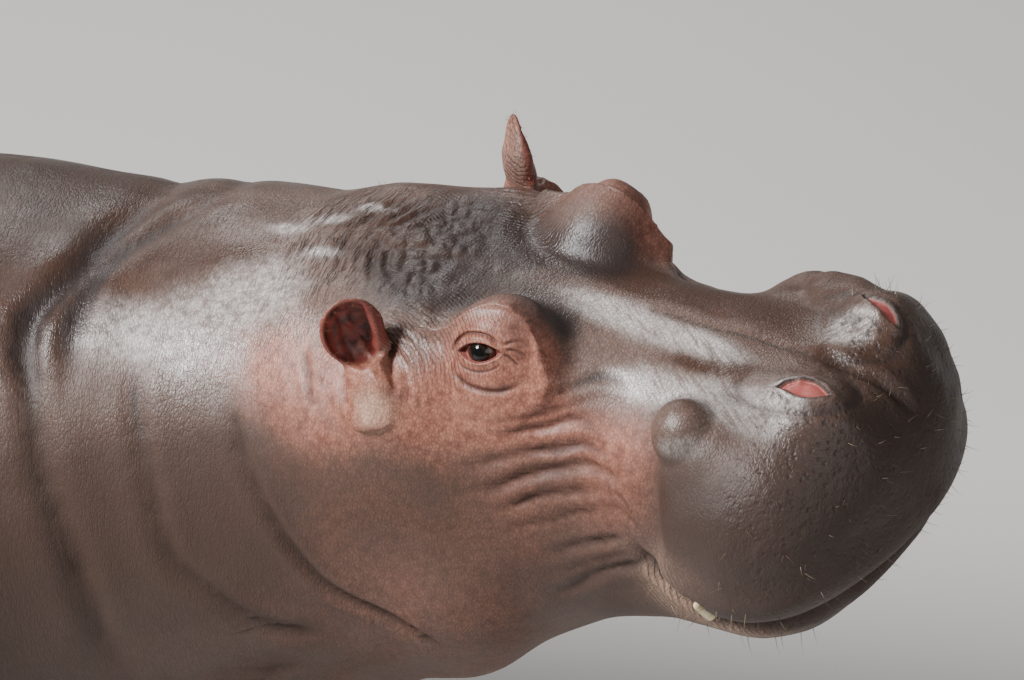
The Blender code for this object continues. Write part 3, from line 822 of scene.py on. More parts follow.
# Places where the mesh is finer still, the same on both sides
eyeZone = (stance["eyeForward"] + 0.004, stance["eyeAside"] + 0.010, stance["eyeAbove"] - 0.006)
noseZone = nosePlan["seat"]["left"]
earZone = (0.045, 0.140, 0.035)
crownZones = ((-0.145, 0.045, 0.075), (-0.080, 0.045, 0.080), (-0.015, 0.045, 0.085))
zones = ((eyeZone, 1.0), (noseZone, 0.85), (earZone, 1.0)) + tuple((zone, 0.86) for zone in crownZones)
finerZones(skin, zones, skinPlan["zoneReach"])
finerZones(skin, ((eyeZone, 1.0),), skinPlan["eyeReach"])
hide = Hide(skin)
print("skin", len(skin.data.vertices), "points")
shapeBody(hide)
shapeToes(hide)
shapeNeck(hide)
shapeSwellings(hide)
shapeCheeks(hide)
shapeMouth(hide)
shapeEarRoot(hide)
for side, sign in sides.items():
    shapeNostril(hide, side)
    shapeEye(hide, sign)
print("skin shaped")


# Ears: a thick-rimmed bowl on a short wrinkled stalk
earPlan = {
    "root": (0.016, 0.188, 0.000),
    "bowl": (-0.004, 0.186, 0.091),
    "rise": (-0.17, 0.25, 0.95),
    "look": (0.74, 0.67, -0.04),
    "size": (0.037, 0.021, 0.048),
    "hollowDepth": 0.0125,
    "hollowSize": (0.0322, 0.0235, 0.0432),
    "stalkRadii": (0.038, 0.0225),
    "flap": ((0.021, 0.004, -0.040), (0.026, 0.007, 0.026)),    # its ends: forward in the bowl, out, up
    "flapRadii": (0.0105, 0.0030),
    "tipThin": 0.55,         # how much thinner it gets towards its tip
    "ridgeSpacing": 0.0135,
    "wrinkleSpacing": 0.0110,
    "voxel": 0.0030,
    "hollowColour": (0.170, 0.030, 0.022, 1),
    "hollowDark": (0.022, 0.005, 0.0045, 1),
    "rimColour": (0.170, 0.042, 0.031, 1),
    "rootBall": ((0.022, 0.195, 0.012), (0.028, 0.019, 0.042)),    # from the head's middle; size
}


def mirrored(place, sign):
    return Vector((place[0], sign * place[1], place[2]))


def earMatrix(sign):
    rise = mirrored(earPlan["rise"], sign).normalized()
    look = mirrored(earPlan["look"], sign)
    look = (look - rise * look.dot(rise)).normalized()
    turn = Matrix((look.cross(rise), look, rise)).transposed().to_4x4()
    return headMatrix() @ Matrix.Translation(mirrored(earPlan["bowl"], sign)) @ turn


# Points of the body as the ear has them: across, out of the bowl, up.
def intoEar(points, sign):
    inner = np.array(earMatrix(sign).inverted())
    return points @ inner[:3, :3].T + inner[:3, 3]


def addBall(form, matrix, size):
    bmesh.ops.create_uvsphere(form, u_segments=36, v_segments=28, radius=1,
                              matrix=matrix @ Matrix.Diagonal((*size, 1)))


def addRod(form, start, end, startRadius, endRadius):
    way = end - start
    turn = way.to_track_quat("Z", "Y").to_matrix().to_4x4()
    bmesh.ops.create_cone(form, cap_ends=True, segments=24, radius1=startRadius, radius2=endRadius,
                          depth=way.length, matrix=Matrix.Translation((start + end) / 2) @ turn)


def remelt(piece, voxel, rounds):
    mesh = remeshed(piece, voxel)
    relax(mesh, rounds)
    return mesh


def cutWith(piece, tool, operation):
    cut = piece.modifiers.new("Cut", "BOOLEAN")
    cut.operation = operation
    cut.solver = "EXACT"
    cut.object = tool
    mesh = settled(piece)
    bpy.data.objects.remove(tool)
    return mesh


def makeEar(side, sign):
    place = earMatrix(sign)
    form = bmesh.new()
    addBall(form, place, earPlan["size"])
    foot = fromHead(*mirrored(earPlan["root"], sign))
    top = place @ Vector((0, -0.004, -0.028))
    addRod(form, foot - (top - foot) * 0.30, top, *earPlan["stalkRadii"])
    middle, size = earPlan["rootBall"]
    addBall(form, headMatrix() @ Matrix.Translation(mirrored(middle, sign)), size)
    ear = pieceOf("ear_" + side, form)
    remelt(ear, earPlan["voxel"], 8)
    form = bmesh.new()
    deep = earPlan["hollowDepth"]
    addBall(form, place @ Matrix.Translation((0, deep, 0.002)), earPlan["hollowSize"])
    addBall(form, place @ Matrix.Translation((0.002, deep - 0.002, -0.017)), (0.018, 0.019, 0.024))
    hollow = pieceOf("hollow", form)
    remelt(hollow, earPlan["voxel"], 2)
    cutWith(ear, hollow, "DIFFERENCE")
    form = bmesh.new()
    form.from_mesh(ear.data)
    low, high = (place @ Vector((sign * x, y, z)) for x, y, z in earPlan["flap"])
    addRod(form, low, high, *earPlan["flapRadii"])
    flapped = pieceOf("ear_" + side, form)
    bpy.data.objects.remove(ear)
    ear = flapped
    mesh = remelt(ear, earPlan["voxel"] * 0.9, 3)
    local = intoEar(readPoints(mesh), sign)
    local[:, 1] *= 1 - earPlan["tipThin"] * smoothStep(-0.015, 0.050, local[:, 2])
    outer = np.array(place)
    points = local @ outer[:3, :3].T + outer[:3, 3]
    writePoints(mesh, points)
    normals = readNormals(mesh)
    x, y, z = local.T
    inside = smoothStep(1.06, 0.90, np.sqrt((x / 0.030) ** 2 + ((z - 0.002) / 0.040) ** 2))
    inside *= smoothStep(0.019, 0.013, y) * smoothStep(-0.018, -0.008, y)
    # ridges run up the hollow, and a flap stands at its front edge
    sway = softNoise(points, 0.018, 15)
    lift = 0.0008 * np.sin(x * 2 * math.pi / earPlan["ridgeSpacing"] + z * 60 + 2.2 * sway) * inside
    lift += 0.0030 * hump(sign * x - 0.004 + z * 0.35, 0.0045) * inside * smoothStep(0.03, 0.0, z)
    stalk = smoothStep(-0.030, -0.042, z)
    turn = x * 2 * math.pi / earPlan["wrinkleSpacing"] + 3 * softNoise(points, 0.025, 9)
    lift += 0.0007 * np.sin(turn) * stalk
    lift += 0.0008 * softNoise(points, 0.012, 12)
    writePoints(mesh, points + normals * lift[:, None])
    return ear


seamPlan = {
    "steps": 8,              # how far from the seam, along the edges
    "fade": 0.88,
    "rounds": 14,
}


# The points, smoothed along the line where old skin meets the ears.
def softenedSeam(hide, old):
    starts, ends = hide.edges.T
    seam = np.zeros(len(hide.points))
    seam[hide.edges[old[starts] != old[ends]].ravel()] = 1
    for _ in range(seamPlan["steps"]):
        wider = seam.copy()
        np.maximum.at(wider, starts, seamPlan["fade"] * seam[ends])
        np.maximum.at(wider, ends, seamPlan["fade"] * seam[starts])
        seam = wider
    return relaxed(hide.points, hide.edges, seamPlan["rounds"], seam)


# The ear and the skin become one.
def joinEar(skin, ear):
    cutWith(skin, ear, "UNION")
    mesh = skin.data
    form = bmesh.new()
    form.from_mesh(mesh)
    bmesh.ops.remove_doubles(form, verts=form.verts, dist=0.00005)
    form.to_mesh(mesh)
    form.free()


ears = {}
for side, sign in sides.items():
    ears[side] = makeEar(side, sign)
print("ears", len(ears["left"].data.polygons))


# Eyes
eyeLook = {
    "iris": 0.0120,        # radius of the coloured ring
    "pupil": 0.0066,
    "bulge": 0.0012,       # how far the clear front stands out
    "bulgeReach": 0.0095,
    "irisColour": (0.011, 0.0055, 0.0035, 1),
    "rimColour": (0.004, 0.002, 0.0015, 1),
    "whiteColour": (0.075, 0.030, 0.022, 1),
    "roughness": 0.13,
}


def makeEye(side, sign):
    ahead, above, look = eyeAxes(sign)
    form = bmesh.new()
    bmesh.ops.create_uvsphere(form, u_segments=64, v_segments=48, radius=eyePlan["ball"])
    for vertex in form.verts:
        flat = math.hypot(vertex.co.x, vertex.co.y)
        if vertex.co.z > 0:
            vertex.co.z += eyeLook["bulge"] * math.exp(-(flat / eyeLook["bulgeReach"]) ** 4)
    turn = Matrix((ahead, look.cross(ahead), look)).transposed().to_4x4()
    place = headMatrix() @ Matrix.Translation(eyeSeat(sign)) @ turn
    form.transform(place)
    bmesh.ops.recalc_face_normals(form, faces=form.faces)
    piece = pieceOf("eye_ball_" + side, form)
    back = place.inverted()
    spots = [back @ vertex.co for vertex in piece.data.vertices]
    gaze = piece.data.attributes.new("gaze", "FLOAT", "POINT")
    gaze.data.foreach_set("value", [math.hypot(*spot.xy) if spot.z > 0 else 0.03 for spot in spots])
    return piece


smallParts = {
    # voxel, how often it is smoothed
    "canine": (0.0016, 4),
    "toe": (0.0035, 5),
}


# Small solid parts take the CAD solid's own place and are rounded.
def rounded(name, node, voxel, rounds):
    piece = melted(name, [node], 0.0, voxel)
    relax(piece.data, rounds)
    return piece


# Colours
hidePlan = {
    "grey": (0.185, 0.120, 0.098, 1),
    "brown": (0.070, 0.032, 0.019, 1),
    # painted sheen: a pale highlight colour standing in for light off wet skin
    "paintedSheen": (0.640, 0.585, 0.560, 1),
    "pink": (0.460, 0.185, 0.125, 1),
    "deepPink": (0.250, 0.080, 0.050, 1),
    "pale": (0.620, 0.400, 0.285, 1),
    # for dark marks, and for painted shade in folds, creases and some dark patches
    "darkAndShade": (0.020, 0.0135, 0.013, 1),
    "wetPink": (0.210, 0.064, 0.050, 1),
    "nosePink": (0.350, 0.082, 0.074, 1),
    # painted shade: a darker brown low down on the head and body
    "lowerShade": (0.037, 0.0175, 0.0105, 1),
    # painted shade in creases of pink skin
    "pinkCreaseShade": (0.060, 0.0190, 0.0130, 1),
    "roughness": 0.36,
}


def addNode(tree, kind, links=None, **settings):
    node = tree.nodes.new(kind)
    for name, value in settings.items():
        setattr(node, name, value)
    for socket, value in (links or {}).items():
        target = node.inputs[socket]
        if isinstance(value, bpy.types.NodeSocket):
            tree.links.new(value, target)
        else:
            target.default_value = value
    return node


def mathNode(tree, operation, *values, clamp=False):
    node = addNode(tree, "ShaderNodeMath", dict(enumerate(values)), operation=operation, use_clamp=clamp)
    return node.outputs[0]


def rangeNode(tree, value, low, high, toLow=0.0, toHigh=1.0):
    given = {"Value": value, "From Min": low, "From Max": high, "To Min": toLow, "To Max": toHigh}
    return addNode(tree, "ShaderNodeMapRange", given, interpolation_type="SMOOTHSTEP").outputs["Result"]


def mixNode(tree, share, a, b, blend="MIX"):
    node = addNode(tree, "ShaderNodeMix", data_type="RGBA", blend_type=blend)
    for index, value in ((0, share), (6, a), (7, b)):
        if isinstance(value, bpy.types.NodeSocket):
            tree.links.new(value, node.inputs[index])
        else:
            node.inputs[index].default_value = value
    return node.outputs[2]


# Shifts a place a little by a random amount, so that straight cells waver.
def plusVector(tree, vector, amount, scale):
    shift = mathNode(tree, "MULTIPLY", amount, scale)
    return addNode(tree, "ShaderNodeVectorMath", {0: vector, 1: shift}, operation="ADD").outputs[0]


def newMaterial(name, colour, roughness):
    material = bpy.data.materials.new(name)
    material.use_nodes = True
    material.diffuse_color = colour
    shader = material.node_tree.nodes["Principled BSDF"]
    shader.inputs["Base Color"].default_value = colour
    shader.inputs["Roughness"].default_value = roughness
    return material, material.node_tree, shader


def makeHide():
    material, tree, shader = newMaterial("hide", hidePlan["grey"], hidePlan["roughness"])

    def masks(name):
        layer = addNode(tree, "ShaderNodeAttribute", attribute_name=name).outputs["Color"]
        return addNode(tree, "ShaderNodeSeparateColor", {0: layer}).outputs

    def ramp(*values):
        return rangeNode(tree, *values)

    def noise(place, scale, detail, rough=0.55):
        node = addNode(tree, "ShaderNodeTexNoise", {"Vector": place, "Scale": scale, "Detail": detail,
                                                    "Roughness": rough})
        return node.outputs["Fac"]

    def stretched(place, amounts):
        return addNode(tree, "ShaderNodeVectorMath", {0: place, 1: amounts}, operation="MULTIPLY").outputs[0]

    def cracks(place, amounts, wide):
        node = addNode(tree, "ShaderNodeTexVoronoi", {"Vector": stretched(place, amounts), "Scale": 1.0},
                       feature="DISTANCE_TO_EDGE")
        return ramp(node.outputs["Distance"], 0.0, wide)

    def times(*values):
        result = values[0]
        for value in values[1:]:
            result = mathNode(tree, "MULTIPLY", result, value)
        return result

    def plus(*values):
        result = values[0]
        for value in values[1:]:
            result = mathNode(tree, "ADD", result, value)
        return result

    def without(value):
        return mathNode(tree, "SUBTRACT", 1.0, value)

    def thin(value):
        return mathNode(tree, "ABSOLUTE", mathNode(tree, "SUBTRACT", value, 0.5))

    def joined(*values):
        return addNode(tree, "ShaderNodeCombineXYZ", dict(enumerate(values))).outputs[0]

    def awayFrom(middle):
        node = addNode(tree, "ShaderNodeVectorMath", {0: folded, 1: middle}, operation="DISTANCE")
        return node.outputs["Value"]

    def uneven(amount):
        return times(plus(middle, -0.5), amount)

    def paint(colour, share, over):
        return mixNode(tree, share, colour, over)

    place = addNode(tree, "ShaderNodeTexCoord").outputs["Object"]
    flow = addNode(tree, "ShaderNodeAttribute", attribute_name="flow").outputs["Vector"]
    pink, pale, darkAndShade = masks("tint")
    foldShade, rim, muzzle = masks("mark")
    nose, hollow, wetAndPaintedSheen = masks("spot")
    tanned, pore, earRim = masks("shade")
    x, y, z = addNode(tree, "ShaderNodeSeparateXYZ", {0: flow}).outputs

    broad = noise(place, 3.2, 4)
    middle = noise(place, 17, 5)
    small = noise(place, 95, 4)
    grain = noise(place, 420, 3)

    # a fine net everywhere, longer lines across the neck, fine grooves on the snout, pits on the lips
    net = cracks(plusVector(tree, flow, small, 0.004), (300, 180, 180), 0.28)
    coarse = cracks(plusVector(tree, flow, small, 0.010), (120, 62, 62), 0.16)
    neck = times(ramp(x, -1.1, -0.5, 0.35, 1.0), ramp(x, 0.02, 0.12, 1.0, 0.15))
    lines = noise(stretched(flow, (190, 34, 34)), 1.0, 2.5, 0.5)
    lines = plus(1.0, times(neck, plus(ramp(thin(lines), 0.0, 0.07), -1.0)))
    rear = ramp(x, -0.75, -0.45, 1.0, 0.0)
    large = noise(stretched(plusVector(tree, flow, broad, 0.10), (26, 9, 7)), 1.0, 3.0, 0.5)
    large = plus(1.0, times(rear, plus(ramp(thin(large), 0.0, 0.10), -1.0)))
    aside = mathNode(tree, "ABSOLUTE", y)
    folded = joined(x, aside, z)
    fromEar = awayFrom((0.0, 0.205, 0.030))
    ringWave = mathNode(tree, "SINE", plus(times(fromEar, 1350.0), times(noise(place, 28, 3), 26.0)))
    rings = times(ramp(ringWave, 0.15, 0.95), ramp(fromEar, 0.050, 0.062),
                  ramp(fromEar, 0.13, 0.25, 1.0, 0.0), ramp(z, 0.0, 0.05),
                  ramp(x, -0.10, -0.03), ramp(noise(place, 13, 3), 0.36, 0.58, 0.25, 1.0))
    nape = ramp(awayFrom((-0.13, 0.060, 0.070)), 0.045, 0.110, 1.0, 0.0)
    across = joined(plus(times(x, 150.0), times(aside, -22.0)), plus(times(x, 3.0), times(aside, 20.0)),
                    times(z, 20.0))
    deepLines = ramp(thin(noise(across, 1.0, 2.0, 0.5)), 0.0, 0.055, 1.0, 0.0)
    deepLines = times(deepLines, ramp(noise(place, 16, 2), 0.40, 0.56))
    sway = times(noise(place, 30, 2), 16.0)
    lipWave = mathNode(tree, "SINE", plus(times(x, 820.0), times(z, 330.0), sway))
    lipLines = times(ramp(lipWave, 0.0, 1.0), ramp(z, -0.14, -0.10, 1.0, 0.0), ramp(pale, 0.15, 0.6))
    slanted = joined(plus(times(x, 22.0), times(aside, 16.0)), plus(times(x, -150.0), times(aside, 190.0)),
                     times(z, 30.0))
    hair = noise(slanted, 1.0, 2.0)
    snout = times(ramp(x, 0.16, 0.26), ramp(z, -0.03, 0.02))
    spots = {"Vector": plusVector(tree, place, small, 0.005), "Scale": 112.0}
    pits = addNode(tree, "ShaderNodeTexVoronoi", spots, feature="F1").outputs["Distance"]
    pitDeep = times(without(ramp(pits, 0.06, 0.42)), muzzle)
    knobs = times(noise(place, 60, 2), muzzle)

    tan = plus(times(ramp(broad, 0.40, 0.66), 0.45), times(ramp(middle, 0.45, 0.72), 0.25),
               ramp(plus(tanned, uneven(0.7)), 0.05, 0.95), times(muzzle, 0.50))
    grey = mixNode(tree, mathNode(tree, "MINIMUM", tan, 1.0), hidePlan["grey"], hidePlan["brown"])
    # Painted sheen: where the skin is wet, a pale highlight is painted into the colour and broken into
    # streaks; the same mask also makes the skin less rough
    sheenStreaks = plus(times(snout, ramp(hair, 0.32, 0.60, 0.35, 1.0)),
                   times(without(snout), ramp(small, 0.36, 0.62, 0.45, 1.0)))
    paintedShine = times(ramp(plus(wetAndPaintedSheen, uneven(0.9)), 0.25, 1.0), sheenStreaks, 0.88)
    grey = mixNode(tree, paintedShine, grey, hidePlan["paintedSheen"])
    ragged = plus(pink, uneven(0.8), times(plus(broad, -0.5), 0.5))
    rosy = mixNode(tree, ramp(small, 0.35, 0.75), hidePlan["pink"], hidePlan["deepPink"])
    colour = mixNode(tree, times(ramp(ragged, 0.05, 0.95), 0.88), grey, rosy)
    colour = paint(colour, ramp(plus(pale, uneven(0.5)), 0.15, 0.95), hidePlan["pale"])
    # dark patches, some of them painted shade
    colour = paint(colour, times(ramp(plus(darkAndShade, uneven(0.6)), 0.1, 1.0), 0.85), hidePlan["darkAndShade"])
    blotch = ramp(small, 0.53, 0.62)
    colour = paint(colour, times(blotch, pore, 0.65), hidePlan["darkAndShade"])
    # Painted shade in grooves: the cracks of the net and of the coarse cells, the long lines, the body's
    # large wrinkles, the rings by the ears, the nape's deep lines and the lip lines are darkened
    creaseShadeColour = mixNode(tree, ramp(pink, 0.25, 0.80), hidePlan["darkAndShade"], hidePlan["pinkCreaseShade"])
    colour = paint(colour, times(without(net), 0.40), creaseShadeColour)
    colour = paint(colour, times(without(large), 0.20), hidePlan["darkAndShade"])
    colour = paint(colour, times(rings, 0.55), creaseShadeColour)
    colour = paint(colour, times(lipLines, 0.45), hidePlan["brown"])
    colour = paint(colour, times(without(coarse), 0.17), hidePlan["darkAndShade"])
    colour = paint(colour, times(without(lines), 0.14), hidePlan["darkAndShade"])
    colour = paint(colour, times(deepLines, nape, 0.45), hidePlan["darkAndShade"])
    colour = paint(colour, times(ramp(hair, 0.5, 0.7), snout, 0.25), hidePlan["brown"])
    colour = paint(colour, times(pitDeep, 0.75), hidePlan["darkAndShade"])
    # painted shade in the folds and creases carved into the skin
    colour = paint(colour, times(ramp(foldShade, 0.1, 0.9), 0.86), creaseShadeColour)
    colour = paint(colour, ramp(plus(earRim, uneven(0.6)), 0.1, 0.7), earPlan["rimColour"])
    shadow = ramp(noise(place, 48, 3), 0.36, 0.72)
    depths = mixNode(tree, shadow, earPlan["hollowColour"], earPlan["hollowDark"])
    # Painted shade: lower down, the head and body are painted a darker brown, starting lower on the muzzle,
    # whose front lower side is darkened further; there the skin is also rougher
    ahead = plus(x, uneven(0.07))
    level = plus(z, uneven(0.08), ramp(ahead, 0.29, 0.39, 0.0, -0.056))
    lowerShadeZone = ramp(level, 0.025, -0.085, 0.0, 1.0)
    lowerShadeShare = ramp(pink, 0.05, 0.60, 0.88, 0.55)
    colour = paint(colour, times(lowerShadeZone, without(pale), lowerShadeShare), hidePlan["lowerShade"])
    colour = paint(colour, times(ramp(ahead, 0.32, 0.42), lowerShadeZone, 0.30), hidePlan["darkAndShade"])
    colour = paint(colour, ramp(hollow, 0.1, 0.9), depths)
    colour = paint(colour, ramp(rim, 0.15, 0.9), hidePlan["wetPink"])
    flesh = mixNode(tree, ramp(small, 0.40, 0.75), hidePlan["nosePink"], hidePlan["wetPink"])
    flesh = mixNode(tree, ramp(nose, 0.70, 1.0), hidePlan["wetPink"], flesh)
    colour = paint(colour, ramp(nose, 0.35, 0.8), flesh)
    tree.links.new(colour, shader.inputs["Base Color"])

    calm = times(without(times(plus(nose, hollow), 0.7)), without(times(pink, 0.45)))
    high = plus(times(net, 0.00016), times(coarse, 0.00014), times(lines, 0.00014), times(small, 0.00028),
                times(large, 0.0018), times(rings, -0.00055), times(deepLines, nape, -0.0010),
                times(lipLines, -0.0008), times(grain, 0.00014), times(hair, snout, 0.00036),
                times(knobs, 0.0024), times(pitDeep, -0.0007))
    bumps = addNode(tree, "ShaderNodeBump", {"Height": times(high, calm), "Distance": 1.0, "Strength": 1.0})
    tree.links.new(bumps.outputs["Normal"], shader.inputs["Normal"])
    damp = ramp(noise(place, 8, 4), 0.36, 0.66)
    rough = plus(0.31, times(damp, 0.18), times(wetAndPaintedSheen, -0.08), times(rim, -0.06), times(lowerShadeZone, 0.22),
                 times(pink, 0.09), times(foldShade, 0.14))
    tree.links.new(rough, shader.inputs["Roughness"])
    shader.inputs["Specular IOR Level"].default_value = 0.45
    return material


def makeEyeMaterial():
    material, tree, shader = newMaterial("eye_dark", eyeLook["irisColour"], eyeLook["roughness"])
    gaze = addNode(tree, "ShaderNodeAttribute", attribute_name="gaze").outputs["Fac"]
    pupil = rangeNode(tree, gaze, eyeLook["pupil"], eyeLook["pupil"] + 0.0012)
    ring = rangeNode(tree, gaze, eyeLook["iris"] - 0.0022, eyeLook["iris"])
    white = rangeNode(tree, gaze, eyeLook["iris"] - 0.0004, eyeLook["iris"] + 0.0014)
    colour = mixNode(tree, pupil, (0.002, 0.002, 0.002, 1), eyeLook["irisColour"])
    colour = mixNode(tree, ring, colour, eyeLook["rimColour"])
    colour = mixNode(tree, white, colour, eyeLook["whiteColour"])
    tree.links.new(colour, shader.inputs["Base Color"])
    shader.inputs["Specular IOR Level"].default_value = 0.38
    return material


hideMaterial = makeHide()
eyeMaterial = makeEyeMaterial()
plainLooks = {
    # colour, roughness
    "nail": ((0.170, 0.125, 0.095, 1), 0.38),
    "tooth": ((0.62, 0.52, 0.30, 1), 0.3),
    "bristle": ((0.150, 0.105, 0.066, 1), 0.45),
}
nailMaterial = newMaterial("nail", *plainLooks["nail"])[0]
toothMaterial = newMaterial("tooth", *plainLooks["tooth"])[0]


# From 1 in a patch's middle to 0 far away.
def patch(spine, middle, size):
    away = np.sqrt(sum(((spine[:, k] - middle[k]) / size[k]) ** 2 for k in range(3)))
    return np.exp(-away ** 2)


# Where the skin is pink, pale, dark or tan, where shade is painted, and where a wet sheen is painted as a
# pale highlight; each patch: middle (forward, outward, up), size, strength
pinkPatches = (
    ((0.142, 0.150, 0.068), (0.056, 0.060, 0.060), 1.15),
    ((0.188, 0.130, 0.066), (0.034, 0.040, 0.050), 0.80),
    ((0.075, 0.180, 0.015), (0.070, 0.060, 0.050), 0.50),
    ((0.000, 0.225, 0.085), (0.060, 0.060, 0.090), 1.20),
    ((-0.110, 0.190, 0.010), (0.090, 0.070, 0.055), 1.10),
    ((-0.030, 0.220, -0.080), (0.120, 0.080, 0.090), 0.30),
    ((0.180, 0.165, 0.000), (0.120, 0.060, 0.035), 0.70),
    ((0.190, 0.165, -0.090), (0.130, 0.060, 0.080), 0.50),
    ((0.300, 0.150, -0.050), (0.050, 0.060, 0.065), 0.85),
    ((0.060, 0.200, -0.240), (0.190, 0.110, 0.110), 0.50),
    ((0.060, 0.050, -0.420), (0.300, 0.200, 0.120), 0.50),
    ((-0.300, 0.200, -0.380), (0.240, 0.200, 0.160), 0.30),
)
palePatches = (
    ((0.430, 0.180, -0.225), (0.110, 0.070, 0.035), 0.85),
    ((0.026, 0.210, 0.014), (0.028, 0.035, 0.034), 0.80),
    ((-0.012, 0.180, 0.112), (0.045, 0.045, 0.050), 0.34),
    ((0.350, 0.165, -0.165), (0.050, 0.060, 0.045), 0.60),
    ((0.360, 0.080, -0.290), (0.150, 0.120, 0.060), 0.50),
    ((0.395, 0.190, -0.120), (0.070, 0.050, 0.040), 0.36),
)
darkAndShadePatches = (
    ((0.090, 0.030, 0.080), (0.095, 0.055, 0.045), 0.70),
    ((-0.010, 0.050, 0.085), (0.080, 0.070, 0.045), 0.62),
    ((-0.520, 0.040, 0.080), (0.220, 0.240, 0.110), 0.60),
    # painted shade on the upper front of each eye dome
    ((0.174, 0.126, 0.106), (0.026, 0.036, 0.032), 0.60),
    # painted shadow in front of each eye dome, on its inner side
    ((0.172, 0.066, 0.072), (0.044, 0.036, 0.040), 1.15),
    ((0.010, 0.085, 0.075), (0.070, 0.045, 0.030), 0.45),
    # painted shade between each ear's stalk and the eye
    ((0.082, 0.200, 0.026), (0.034, 0.050, 0.030), 0.34),
    ((0.600, 0.060, -0.040), (0.090, 0.170, 0.110), 0.75),
    ((0.560, 0.120, 0.000), (0.080, 0.090, 0.050), 0.35),
)
# These are different on the two sides; left is plus
tanPatches = (
    ((0.000, 0.040, 0.080), (0.110, 0.090, 0.050), 1.10),
    ((-0.600, 0.000, 0.050), (0.300, 0.260, 0.130), 1.20),
    ((-1.500, 0.000, 0.100), (0.900, 0.350, 0.200), 0.55),
    ((0.200, 0.049, 0.055), (0.080, 0.030, 0.040), 0.90),
    ((0.300, 0.054, 0.055), (0.090, 0.032, 0.040), 0.95),
    ((0.410, 0.090, 0.050), (0.070, 0.050, 0.045), 0.90),
    ((0.350, -0.058, 0.055), (0.045, 0.012, 0.030), 0.90),
    ((0.405, -0.046, 0.060), (0.045, 0.012, 0.030), 0.80),
    ((0.370, -0.128, 0.052), (0.032, 0.030, 0.018), 0.75),
    ((-0.290, -0.050, 0.062), (0.090, 0.016, 0.030), 0.70),
    ((-0.080, 0.020, 0.080), (0.060, 0.050, 0.040), 0.60),
    ((0.520, 0.000, 0.030), (0.090, 0.100, 0.060), 0.45),
)
# The two mounds behind the nostrils: a painted sheen makes them pale, and dark pores are painted on them
paintedSheenMounds = ((0.488, 0.046, 0.066), (0.478, -0.094, 0.060))
# Painted sheen: highlights painted as pale colour where the skin is wet, which is also less rough there
paintedSheenPatches = (
    (paintedSheenMounds[0], (0.030, 0.026, 0.030), 1.50),
    (paintedSheenMounds[1], (0.028, 0.024, 0.030), 1.60),
    ((0.458, -0.128, 0.046), (0.050, 0.026, 0.022), 1.10),
    ((-0.310, -0.165, 0.020), (0.130, 0.060, 0.050), 0.95),
    ((0.200, -0.015, 0.055), (0.060, 0.028, 0.040), 0.95),
    ((0.300, -0.028, 0.055), (0.080, 0.024, 0.040), 1.00),
    ((0.385, -0.034, 0.055), (0.050, 0.015, 0.040), 0.60),
    ((0.310, -0.094, 0.032), (0.060, 0.026, 0.024), 1.00),
    ((0.410, -0.096, 0.045), (0.060, 0.026, 0.030), 1.30),
    ((0.386, -0.168, 0.022), (0.026, 0.022, 0.018), 1.20),
    ((-0.180, -0.100, 0.055), (0.080, 0.060, 0.040), 1.05),
    ((-0.135, -0.040, 0.075), (0.028, 0.014, 0.020), 0.80),
    ((-0.200, 0.004, 0.075), (0.034, 0.013, 0.020), 1.00),
    ((-0.160, 0.027, 0.078), (0.034, 0.013, 0.020), 1.00),
    ((-0.115, 0.052, 0.080), (0.034, 0.013, 0.020), 0.90),
    ((0.115, 0.085, 0.090), (0.040, 0.030, 0.035), 0.30),
    ((0.050, -0.120, 0.070), (0.035, 0.025, 0.025), 0.45),
    ((0.350, 0.100, 0.040), (0.100, 0.030, 0.030), 0.35),
)


# How deep inside the hollow of an ear each point is.
def earHollow(points):
    found = np.zeros(len(points))
    for sign in sides.values():
        x, y, z = intoEar(points, sign).T
        size = earPlan["hollowSize"]
        away = np.sqrt((x / size[0]) ** 2 + ((y - earPlan["hollowDepth"]) / size[1]) ** 2
                       + ((z - 0.002) / size[2]) ** 2)
        found = np.maximum(found, smoothStep(1.10, 0.98, away) * smoothStep(0.012, 0.002, y))
    return found


# The darker red edge of each ear.
def earRim(points):
    found = np.zeros(len(points))
    for sign in sides.values():
        x, y, z = intoEar(points, sign).T
        ring = np.hypot(x / earPlan["size"][0], z / earPlan["size"][2])
        near = (abs(y) < 0.04) & (ring < 1.4)
        found = np.maximum(found, smoothStep(-0.006, 0.006, y) * smoothStep(-0.040, -0.020, z) * near * 0.8)
    return found


